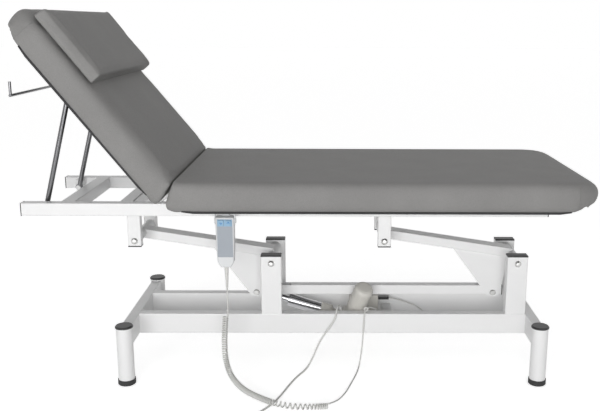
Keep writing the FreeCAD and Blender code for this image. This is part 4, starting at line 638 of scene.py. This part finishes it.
class TABLE_OT_seat(bpy.types.Operator):
    """Make the seat cushion"""
    bl_idname = "massage_table.seat"
    bl_label = "Seat cushion"

    def execute(self, context):
        low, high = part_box("seat_cushion")
        board_low, board_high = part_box("seat_board")
        chosen = settings("upholstery")
        tall = high.z - low.z

        def held(point):
            over_board = (abs(point.y) < board_high.y + 0.003 and point.x < board_high.x + 0.003
                          and point.z < board_high.z + 0.005)
            return over_board or point.x < low.x + HELD_END

        def shape(point):
            part = (point.z - low.z) / tall
            ease = part_way(point.x - low.x, HELD_END, BULGE_EASE)
            end = part_way(point.x, high.x - END_REACH, END_REACH)
            side = part_way(abs(point.y), high.y - SIDE_REACH, SIDE_REACH)
            return Vector((end_push(part, 0.016) * end,
                           math.copysign(SIDE_BULGE * crown(part) * side * ease, point.y), 0))

        def droop(point):
            beyond = max(abs(point.y) - board_high.y, point.x - board_high.x)
            sunk = lip_depth(point.z - low.z, beyond, chosen.lip)
            ease = part_way(point.x - low.x, LIP_START, LIP_EASE)
            fade = part_way(board_high.x + 0.01, point.x, END_REACH)
            return Vector((point.x, point.y, point.z - sunk * min(ease, fade)))

        pad = soft_pad("upholstered_seat", "seat_cushion", chosen.voxel, chosen.swell, held, shape,
                       droop)
        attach(pad, "top_frame")
        level = board_low.z - 0.0035
        ways = ((low.x + 0.04, SHADE_BAND_RISE), (low.x + 0.07, 0.0),
                (board_high.x - 0.08, 0.0), (board_high.x - 0.05, SHADE_BAND_RISE))
        # Bands of painted shade under the seat's near and far edges.
        for side, label in ((-1, "near"), (1, "far")):
            y = side * (board_high.y + SHADE_BAND_OUT)
            painted_shade_band("seat_painted_dark_edge_" + label, [Vector((x, y, level + up)) for x, up in ways],
                      "top_frame")
        for side, label in ((-1, "near"), (1, "far")):
            starts = [Vector((high.x - SEAM_INSET, side * (high.y + RAY_START),
                              low.z + SEAM_FOOT + i * (tall - 0.02) / SEAM_STEPS))
                      for i in range(SEAM_STEPS + 1)]
            seam_on(pad, "seat_seam_" + label, starts, Vector((0, -side, 0)), "top_frame")
        return {"FINISHED"}


class TABLE_OT_backrest(bpy.types.Operator):
    """Make the backrest cushion and the head pillow"""
    bl_idname = "massage_table.backrest"
    bl_label = "Backrest cushion and pillow"

    def execute(self, context):
        chosen = settings("upholstery")
        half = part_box("backrest_cushion")[1].y
        half_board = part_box("backrest_board")[1].y
        longest = BACKREST_LENGTH
        under, over = BACK_UNDER, BACK_TOP

        def back_held(point):
            along, across, up = backrest_frame(point)
            over_board = (abs(across) < half_board + 0.003 and along < longest - 0.023
                          and up < under + 0.020)
            return over_board or along < HELD_END

        def back_shape(point):
            along, across, up = backrest_frame(point)
            part = (up - under) / (over - under)
            ease = part_way(along, HELD_END, BULGE_EASE)
            end = part_way(along, longest - END_REACH, END_REACH)
            side = part_way(abs(across), half - SIDE_REACH, SIDE_REACH)
            out = math.copysign(SIDE_BULGE * crown(part) * side * ease, across)
            return from_backrest(along + end_push(part, 0.010) * end, across + out, up) - point

        def back_droop(point):
            along, across, up = backrest_frame(point)
            beyond = max(abs(across) - half_board, along - (longest - BOARD_INSET))
            ease = part_way(along, LIP_START, LIP_EASE)
            sunk = lip_depth(up - under, beyond, chosen.lip * 0.6)
            return from_backrest(along, across, up - sunk * ease)

        pad = soft_pad("upholstered_backrest", "backrest_cushion", chosen.voxel, chosen.swell,
                       back_held, back_shape, back_droop)
        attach(pad, "backrest")
        level = under + 0.0005
        ways = ((0.04, SHADE_BAND_RISE), (0.07, 0.0), (longest - 0.11, 0.0), (longest - 0.08, SHADE_BAND_RISE))
        # Bands of painted shade under the backrest's near and far edges.
        for side, label in ((-1, "near"), (1, "far")):
            y = side * (half_board + SHADE_BAND_OUT)
            painted_shade_band("backrest_painted_dark_edge_" + label,
                      [from_backrest(a, y, level + up) for a, up in ways], "backrest")
        for side, label in ((-1, "near"), (1, "far")):
            starts = [from_backrest(longest - SEAM_INSET, side * (half + RAY_START),
                                    under + SEAM_FOOT + i * 0.06 / SEAM_STEPS)
                      for i in range(SEAM_STEPS + 1)]
            seam_on(pad, "backrest_seam_" + label, starts, Vector((0, -side, 0)), "backrest")

        def pillow_held(point):
            return backrest_frame(point)[2] < 0.0585

        def pillow_shape(point):
            along, across, up = backrest_frame(point)
            out = 0.0025 * crown((up - 0.0545) / 0.038)
            return from_backrest(along, across + math.copysign(out, across), up) - point

        pillow = soft_pad("upholstered_pillow", "head_pillow", chosen.pillow_voxel,
                          chosen.swell * 0.6, pillow_held, pillow_shape)
        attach(pillow, "backrest")
        return {"FINISHED"}


# cords


FINE_STEP = 0.0005                     # between the points that a helix or a relief follows
HANG_SHARE, FLOOR_SHARE = 0.22, 0.68   # where the curl's close turns start and end
HANG_PITCH, CLOSE_PITCH, FLOOR_PITCH = 0.0066, 0.0052, 0.0056
COIL_STEPS = 12                        # points in a turn of the put-away coil
RELIEF_SIDES = 16


def at_base(x, y, z):
    """A point given in millimetres from the middle of the base."""
    return Vector((BASE_X + x / 1000, y / 1000, z / 1000))


def relief_end():
    low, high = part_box("cord_relief")
    return Vector(((low.x + high.x) / 2, (low.y + high.y) / 2, low.z))


def curl_route():
    x = (relief_end().x - BASE_X) * 1000
    y = relief_end().y * 1000
    return [at_base(x + dx, y + dy, z) for dx, dy, z in (
        (-6, -3, 204), (-14, -5, 120), (-2, -22, 48), (36, -62, 16), (88, -118, 16),
        (146, -160, 16), (216, -168, 9.6), (282, -158, 9.6))]


def lead_route(start):
    rail = -RAIL_FACE * 1000 - 6
    over = RAIL_TOP * 1000 + 10
    low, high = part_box("handset_plug")
    plug = Vector((high.x - BASE_X, (low.y + high.y) / 2, (low.z + high.z) / 2)) * 1000
    ways = [(12, start.y * 1000 + 38, 3), (36, -290, 3), (54, -225, 3), (70, -165, 3),
            (80, rail - 3, 7), (88, rail, 66), (91, rail, 120), (93, rail, over),
            (105, -77, over), (123, -52, 166), (143, -40, 150), (190, -32, 145),
            (plug.x + 84, plug.y - 76, 124), (plug.x + 118, plug.y - 46, 114),
            (plug.x + 110, plug.y - 8, 120), (plug.x + 68, plug.y + 3, 144),
            (plug.x, plug.y, plug.z)]
    return [at_base(*way) for way in ways]


def curled(places, radius, pitch_at, side, per_turn=12):
    """A helix round a line of points; pitch_at(share of the way) gives its pitch there."""
    whole = length_of(places)
    fine = evenly(places, FINE_STEP)
    found = []
    turn = 0.0
    due = 0.0
    for i, place in enumerate(fine):
        side, other = sideways(heading(fine, i), side)
        if turn >= due:
            angle = 2 * math.pi * turn
            found.append(place + (side * math.cos(angle) + other * math.sin(angle)) * radius)
            due += 1.0 / per_turn
        turn += FINE_STEP / pitch_at(i * FINE_STEP / whole)
    return found


def curl_pitch(part):
    """Loose turns where the curl hangs from the handset and at its floor end, close between."""
    if part < HANG_SHARE:
        return HANG_PITCH
    if part > FLOOR_SHARE:
        return FLOOR_PITCH + 0.0085 * crown((part - 0.66) / 0.30)
    return CLOSE_PITCH


def declared_cord(name, points, diameter, resolution, sides=8):
    """A mesh cord along the NURBS spline of its points, with its slot and finish."""
    route = nurbs_line(name + "_route", points)
    route.data.resolution_u = resolution
    line = line_of(route)
    bpy.data.objects.remove(route)
    cord = tube_along(name, line, diameter, sides)
    paint(cord, slot_material("cord_grey"))
    return cord, line


def tube_along(name, line, diameter, sides=10):
    """A mesh tube that follows a line of points."""
    bm = bmesh.new()
    side = Vector((1, 0, 0))
    rings = []
    for i, place in enumerate(line):
        side, other = sideways(heading(line, i), side)
        ring = []
        for k in range(sides):
            turn = 2 * math.pi * k / sides
            off = (side * math.cos(turn) + other * math.sin(turn)) * diameter / 2
            ring.append(bm.verts.new(place + off))
        rings.append(ring)
    skin(bm, rings)
    return mesh_object(name, bm)


class TABLE_OT_handset_cord(bpy.types.Operator):
    """Make the handset's cord: its curled part in two pieces, and the lead to the control box"""
    bl_idname = "massage_table.handset_cord"
    bl_label = "Handset cord"

    def execute(self, context):
        chosen = settings("cords")
        wire = chosen.wire
        top = relief_end()
        curl = curl_route()
        route = nurbs_line("curl_route", curl)
        axis = line_of(route)
        bpy.data.objects.remove(route)
        radius = (chosen.curl - wire) / 2
        helix = curled(axis, radius, curl_pitch, Vector((1, 0, 0)))
        middle_z = curl[1].z
        split = next(i for i, place in enumerate(helix) if place.z < middle_z)
        upper = [top + Vector((0, 0, 0.004)), top + Vector((0.0, -0.0005, -0.02)),
                 top + Vector((0.001, -0.001, -0.05)), helix[0] + Vector((0.0, -0.002, 0.012))]
        upper += helix[:split + 1]
        hanging, line = declared_cord("handset_cord", upper, wire, 2)
        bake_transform(hanging)
        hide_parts("handset_tail")
        length_of(line)
        [tuple(p) for p in line]
        lower, line = declared_cord("handset_cord_low", helix[split:], wire, 2)
        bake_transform(lower)
        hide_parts("handset_curl")
        tuple(line[0])
        length_of(line)
        [tuple(p) for p in line]
        ways = [helix[-1]] + lead_route(curl[-1])
        lead, line = declared_cord("handset_lead_line", ways, wire, 8, sides=10)
        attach(lead, "base")
        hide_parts("handset_lead")
        tuple(line[0])
        length_of(line)
        [tuple(p) for p in line]
        return {"FINISHED"}


def gland_face():
    low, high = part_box("mains_gland")
    return Vector(((low.x + high.x) / 2, low.y, (low.z + high.z) / 2))


def mains_route():
    """From the gland over the near rail and along the floor to the put-away coil's start."""
    gland = (gland_face() - Vector((BASE_X, 0, 0))) * 1000
    rail = -RAIL_FACE * 1000 - 6.5
    ways = [(gland.x, gland.y + 3, gland.z), (gland.x - 2, gland.y - 33, gland.z + 4),
            (29, -66, 154), (20, -80, 186), (12, -107, 187), (8, rail - 2, 152),
            (-16, rail, 118), (-40, rail, 80), (-56, rail - 1, 38), (-76, rail - 18, 3.3),
            (-104, -186, 3.3), (-124, -244, 3.3), (-146, -318, 3.3), (-170, -372, 3.3),
            (-206, -420, 3.3)]
    return [at_base(*way) for way in ways]


def coil_turns(turns):
    """The put-away coil in three layers, and its way out to the plug."""
    coil = middle("mains_coil")
    ring_at = (39.0, 33.0, 27.0, 27.0, 33.0, 39.0, 28.0, 34.0, 34.0)
    rise_at = (3.3, 3.3, 3.3, 9.1, 9.1, 9.1, 14.8, 14.8, 14.8)
    start = math.radians(143)
    found = []
    for i in range(int(turns * COIL_STEPS) + 1):
        turn = i // COIL_STEPS
        part = max(0.0, (i % COIL_STEPS) / COIL_STEPS - 0.5) / 0.5
        ring = ring_at[turn] + (ring_at[turn + 1] - ring_at[turn]) * part
        rise = rise_at[turn] + (rise_at[turn + 1] - rise_at[turn]) * part
        angle = start + 2 * math.pi * i / COIL_STEPS
        found.append(Vector((coil.x + ring / 1000 * math.cos(angle),
                             coil.y + ring / 1000 * math.sin(angle), rise / 1000)))
    return found


def plug_entry():
    low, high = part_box("mains_plug")
    return Vector((low.x, (low.y + high.y) / 2, (low.z + high.z) / 2))


class TABLE_OT_mains_cable(bpy.types.Operator):
    """Make the mains cable with its put-away coil, its plug and its bend relief"""
    bl_idname = "massage_table.mains_cable"
    bl_label = "Mains cable"

    def execute(self, context):
        chosen = settings("cords")
        entry = plug_entry()
        points = mains_route() + coil_turns(chosen.coil_turns)
        points += [entry + Vector(way) for way in
                   ((-0.013, -0.017, 0.003), (-0.005, -0.006, 0.0025), (0.004, 0, 0))]
        cable, line = declared_cord("mains_cable_line", points, chosen.mains, 5, sides=12)
        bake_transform(cable)
        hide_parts("mains_cable", "mains_coil")
        plug = make_plug(entry)
        tuple(line[0])
        length_of(line)
        [tuple(p) for p in line]
        sleeve = bend_relief("mains_relief", line, 0.002, 0.027, 0.0052, 0.0036)
        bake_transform(sleeve)
        return {"FINISHED"}


def bend_relief(name, line, start, end, wide, narrow):
    """A ribbed sleeve that narrows along a cord, from one distance on it to another."""
    fine = evenly(line, FINE_STEP)
    low, high = int(start / FINE_STEP), int(end / FINE_STEP)
    bm = bmesh.new()
    side = Vector((1, 0, 0))
    rings = []
    for i in range(low, high + 1):
        part = (i - low) / (high - low)
        rib = 0.0 if (i - low) % 6 < 4 else -0.0007
        radius = wide + (narrow - wide) * part + rib
        side, other = sideways(heading(fine, i), side)
        rings.append([bm.verts.new(fine[i] + (side * math.cos(a) + other * math.sin(a)) * radius)
                      for a in (2 * math.pi * k / RELIEF_SIDES for k in range(RELIEF_SIDES))])
    skin(bm, rings)
    sleeve = mesh_object(name, bm)
    paint(sleeve, slot_material("cord_grey"))
    return sleeve


def rounded_ring(bm, x, centre, half_y, half_z, radius, steps=4):
    """The points of a rounded rectangle across X."""
    ring = []
    for corner, (sy, sz) in enumerate(((1, 1), (-1, 1), (-1, -1), (1, -1))):
        for k in range(steps + 1):
            angle = math.pi / 2 * (corner + k / steps)
            y = sy * (half_y - radius) + radius * math.cos(angle)
            z = sz * (half_z - radius) + radius * math.sin(angle)
            ring.append(bm.verts.new((x, centre.y + y, centre.z + z)))
    return ring


def make_plug(entry):
    """A moulded mains plug: a body that narrows to its relief, and two pins."""
    low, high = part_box("mains_plug")
    half_y, half_z = (high.y - low.y) / 2, (high.z - low.z) / 2
    bm = bmesh.new()
    sections = ((0.0, 0.22, 0.3), (0.004, 0.24, 0.34), (0.010, 0.3, 0.42), (0.014, 0.62, 0.7),
                (0.019, 0.9, 0.93), (0.024, 0.98, 0.98), (0.036, 1.0, 1.0), (0.0405, 0.98, 0.98),
                (0.042, 0.9, 0.9))
    rings = []
    for x, wide, tall in sections:
        rings.append(rounded_ring(bm, entry.x + x, entry, half_y * wide, half_z * tall,
                                  min(half_y * wide, half_z * tall) * 0.55))
    skin(bm, rings)
    bmesh.ops.recalc_face_normals(bm, faces=bm.faces)
    plug = mesh_object("mains_plug_shell", bm)
    paint(plug, slot_material("cord_grey"))
    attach(plug, "base")
    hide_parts("mains_plug")
    for side, label in ((-1, "near"), (1, "far")):
        y = entry.y + side * 0.0095
        tip = high.x
        line = [Vector((entry.x + 0.040, y, entry.z)), Vector((tip - 0.003, y, entry.z)),
                Vector((tip - 0.0008, y, entry.z))]
        pin = tube_along("plug_pin_" + label, line, 0.0048, sides=16)
        paint(pin, slot_material("zinc_steel"))
        pin.parent = plug
    return plug


# finishes of the CAD nodes and small details


class TABLE_OT_frame_finish(bpy.types.Operator):
    """Give the steel frame, caps, feet, shafts and boards their finishes; the boards and two
    chrome rods get painted shade
    """
    bl_idname = "massage_table.frame_finish"
    bl_label = "Frame finishes"

    def execute(self, context):
        for name in MAKERS:
            dress_nodes(name)
        # The bail and the roll holder get a chrome much darker than the other chrome: painted
        # shade standing for dark reflections.
        dark_reflection_chrome = fine_material("chrome_painted_dark", (0.15, 0.15, 0.155), 0.2, metallic=1.0, grain=120.0,
                             strength=0.03, contrast=0.05)
        for node in ("roll_holder", "prop_bail"):
            paint(frame["nodes"][node], dark_reflection_chrome)
        return {"FINISHED"}


def arrow_material():
    """The darker blue print of the arrows."""
    return bpy.data.materials.get("arrow_print") or fine_material(
        "arrow_print", (0.09, 0.25, 0.50), 0.4, grain=1800.0, strength=0.1, contrast=0.05)


def arrow_mark(name, centre, up, size):
    """A raised generic arrow, pointing up or down."""
    bm = bmesh.new()
    sign = 1 if up else -1
    outline = [(-0.5, -0.1), (0.5, -0.1), (0.0, 0.55)]
    depth = 0.0004
    front = [bm.verts.new((centre.x + x * size, centre.y - depth, centre.z + sign * z * size))
             for x, z in outline]
    back = [bm.verts.new((centre.x + x * size * 1.1, centre.y, centre.z + sign * z * size * 1.1))
            for x, z in outline]
    bm.faces.new(front)
    for i in range(3):
        bm.faces.new((front[i], front[(i + 1) % 3], back[(i + 1) % 3], back[i]))
    bmesh.ops.recalc_face_normals(bm, faces=bm.faces)
    return mesh_object(name, bm, smooth=False)


def block(bm, low, high, round_by=0.0):
    """Add a box between two corners, with its edges eased."""
    made = bmesh.ops.create_cube(bm, size=1.0)["verts"]
    for vertex in made:
        vertex.co = Vector([low[k] + (vertex.co[k] + 0.5) * (high[k] - low[k]) for k in range(3)])
    if round_by:
        edges = list({edge for vertex in made for edge in vertex.link_edges})
        bmesh.ops.bevel(bm, geom=edges, offset=round_by, segments=2, affect="EDGES")


def key_film():
    """The light blue film round the two keys, over the top of the grey panel."""
    low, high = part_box("handset_panel")
    top, bottom = high.z - 0.0012, high.z - 0.0200
    left, right = low.x + 0.0012, high.x - 0.0012
    keys = [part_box(node) for node in ("button_down", "button_up")]
    gap = 0.0004
    key_low, key_high = keys[0][0].z - gap, keys[0][1].z + gap
    bm = bmesh.new()
    front, back = low.y - 0.0003, low.y + 0.0001
    columns = [left] + [x for k in keys for x in (k[0].x - gap, k[1].x + gap)] + [right]
    for x0, x1 in zip(columns[::2], columns[1::2]):
        block(bm, (x0, front, key_low), (x1, back, key_high))
    block(bm, (left, front, key_high), (right, back, top))
    block(bm, (left, front, bottom), (right, back, key_low))
    return mesh_object("handset_film", bm, smooth=False)


def holder_ears():
    """The two ends of the holder that clasp the handset's top corners."""
    low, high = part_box("handset_body")
    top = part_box("handset_panel")[1].z + 0.005
    bm = bmesh.new()
    for inner, outer in ((low.x + 0.0008, low.x - 0.0032), (high.x - 0.0008, high.x + 0.0032)):
        block(bm, (min(inner, outer), low.y + 0.004, top - 0.020),
              (max(inner, outer), low.y + 0.016, top + 0.0115), 0.0012)
    block(bm, (low.x - 0.0032, high.y - 0.0085, top - 0.020),
          (high.x + 0.0032, high.y - 0.006, top - 0.008), 0.0008)
    for x in (low.x - 0.0032, high.x + 0.0008):
        block(bm, (x, low.y + 0.014, top - 0.020),
              (x + 0.0024, high.y - 0.006, top - 0.008), 0.0008)
    return mesh_object("handset_holder_ears", bm, smooth=False)


class TABLE_OT_handset(bpy.types.Operator):
    """Mark the handset's keys with plain arrows, and add its film and holder"""
    bl_idname = "massage_table.handset"
    bl_label = "Handset keys"

    def execute(self, context):
        for piece, slot in ((key_film(), "button_blue"), (holder_ears(), "handset_white")):
            paint(piece, slot_material(slot))
            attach(piece, "top_frame")
        for node, body, up in (("button_up", "up_key", True), ("button_down", "down_key", False)):
            low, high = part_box(node)
            centre = Vector(((low.x + high.x) / 2, low.y, (low.z + high.z) / 2))
            mark = arrow_mark(node + "_arrow", centre, up, 0.009)
            paint(mark, arrow_material())
            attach(mark, body)
        return {"FINISHED"}


# stage


CAMERA_PLACE = (0.0004, -2.34067, 1.00825)
CAMERA_YAW = 0.57
CAMERA_DOWN = 13.02
CAMERA_ROLL = 0.27
CAMERA_LENS = 48.03
CAMERA_SHIFT = (-0.0681, 0.0022)
FLOOR_GLOW = 0.62


def camera_matrix():
    """The camera's place and turn, fitted to the straight edges in the photograph."""
    yaw, down, roll = (math.radians(v) for v in (CAMERA_YAW, CAMERA_DOWN, CAMERA_ROLL))
    forward = Vector((math.sin(yaw) * math.cos(down), math.cos(yaw) * math.cos(down),
                      -math.sin(down)))
    right = Vector((math.cos(yaw), -math.sin(yaw), 0))
    up = right.cross(forward)
    turned_right = right * math.cos(roll) + up * math.sin(roll)
    turned_up = up * math.cos(roll) - right * math.sin(roll)
    place = Vector(CAMERA_PLACE) + Vector((BASE_X, 0, 0))
    rows = Matrix((turned_right, turned_up, -forward)).transposed().to_4x4()
    return Matrix.Translation(place) @ rows


def soft_lamp(name, place, aim, size, power):
    data = bpy.data.lights.new(name, "AREA")
    data.shape = "RECTANGLE"
    data.size, data.size_y = size
    data.energy = power
    lamp = object_from(name, data)
    lamp.location = place
    lamp.rotation_euler = (Vector(aim) - Vector(place)).to_track_quat("-Z", "Y").to_euler()
    return lamp


def seen_directly(graph):
    """1 for rays from the camera, from gloss and through glass."""
    path = graph.add("ShaderNodeLightPath")
    first = graph.math("MAXIMUM", path.outputs["Is Camera Ray"], path.outputs["Is Glossy Ray"])
    return graph.math("MAXIMUM", first, path.outputs["Is Transmission Ray"])


def floor_material():
    """Pale floor that shows white, and keeps a light shadow of the object."""
    made, graph, shader = new_material("studio_floor")
    shader.inputs["Base Color"].default_value = (0.9, 0.9, 0.9, 1)
    shader.inputs["Roughness"].default_value = 0.9
    glow = graph.add("ShaderNodeEmission")
    graph.join(graph.math("MULTIPLY", seen_directly(graph), FLOOR_GLOW), glow.inputs["Strength"])
    summed = graph.add("ShaderNodeAddShader")
    graph.join(shader.outputs["BSDF"], summed.inputs[0])
    graph.join(glow.outputs["Emission"], summed.inputs[1])
    output = made.node_tree.nodes["Material Output"]
    graph.join(summed.outputs["Shader"], output.inputs["Surface"])
    return made


class TABLE_OT_stage(bpy.types.Operator):
    """Make the floor, the lights, the world and the camera"""
    bl_idname = "massage_table.stage"
    bl_label = "Stage and camera"

    def execute(self, context):
        chosen = settings("stage")
        bm = bmesh.new()
        bmesh.ops.create_grid(bm, x_segments=4, y_segments=4, size=30.0)
        floor = mesh_object("studio_floor", bm)
        floor.location = (BASE_X, 0, 0)
        floor.data.materials.append(floor_material())
        world = bpy.data.worlds.new("studio_world")
        context.scene.world = world
        world.use_nodes = True
        graph = Graph(world.node_tree)
        background = world.node_tree.nodes["Background"]
        background.inputs["Color"].default_value = (1, 1, 1, 1)
        lit = graph.math("MULTIPLY", seen_directly(graph), 1.0 - chosen.world_light)
        graph.join(graph.math("ADD", lit, chosen.world_light), background.inputs["Strength"])
        soft_lamp("front_lamp", (BASE_X - 0.5, -4.2, 0.95), (BASE_X, 0, 0.55), (3.2, 1.5),
                  chosen.front_light)
        soft_lamp("top_lamp", (BASE_X + 0.6, 0.4, 3.0), (BASE_X, 0, 0.4), (3.0, 2.4),
                  chosen.top_light)
        data = bpy.data.cameras.new("photo_camera")
        data.sensor_width = 36.0
        data.lens = CAMERA_LENS
        data.shift_x, data.shift_y = CAMERA_SHIFT
        data.clip_end = 100.0
        camera = object_from("photo_camera", data)
        camera.matrix_world = camera_matrix()
        context.scene.camera = camera
        context.scene.view_settings.view_transform = "Standard"
        return {"FINISHED"}


class TABLE_PT_panel(bpy.types.Panel):
    """Buttons for each step of the table's looks"""
    bl_label = "Massage table"
    bl_idname = "TABLE_PT_panel"
    bl_space_type = "VIEW_3D"
    bl_region_type = "UI"
    bl_category = "Massage table"

    def draw(self, context):
        for kind in SETTINGS:
            box = self.layout.box()
            chosen = settings(kind)
            for name in chosen.bl_rna.properties.keys():
                if name not in ("rna_type", "name"):
                    box.prop(chosen, name)
        for operator in OPERATORS:
            self.layout.operator(operator.bl_idname)


SETTINGS = {"upholstery": UpholsterySettings, "finish": FinishSettings, "cords": CordSettings,
            "stage": StageSettings}
OPERATORS = (TABLE_OT_stage, TABLE_OT_frame_finish, TABLE_OT_handset, TABLE_OT_handset_cord,
             TABLE_OT_mains_cable, TABLE_OT_seat, TABLE_OT_backrest)
CLASSES = (*SETTINGS.values(), *OPERATORS, TABLE_PT_panel)


def register():
    for kind in CLASSES:
        bpy.utils.register_class(kind)
    for kind, group in SETTINGS.items():
        setattr(bpy.types.Scene, "table_" + kind, bpy.props.PointerProperty(type=group))


def unregister():
    for kind in SETTINGS:
        delattr(bpy.types.Scene, "table_" + kind)
    for kind in reversed(CLASSES):
        bpy.utils.unregister_class(kind)


def main():
    register()
    for operator in OPERATORS:
        group, name = operator.bl_idname.split(".")
        getattr(getattr(bpy.ops, group), name)()


if __name__ == "__main__":
    main()
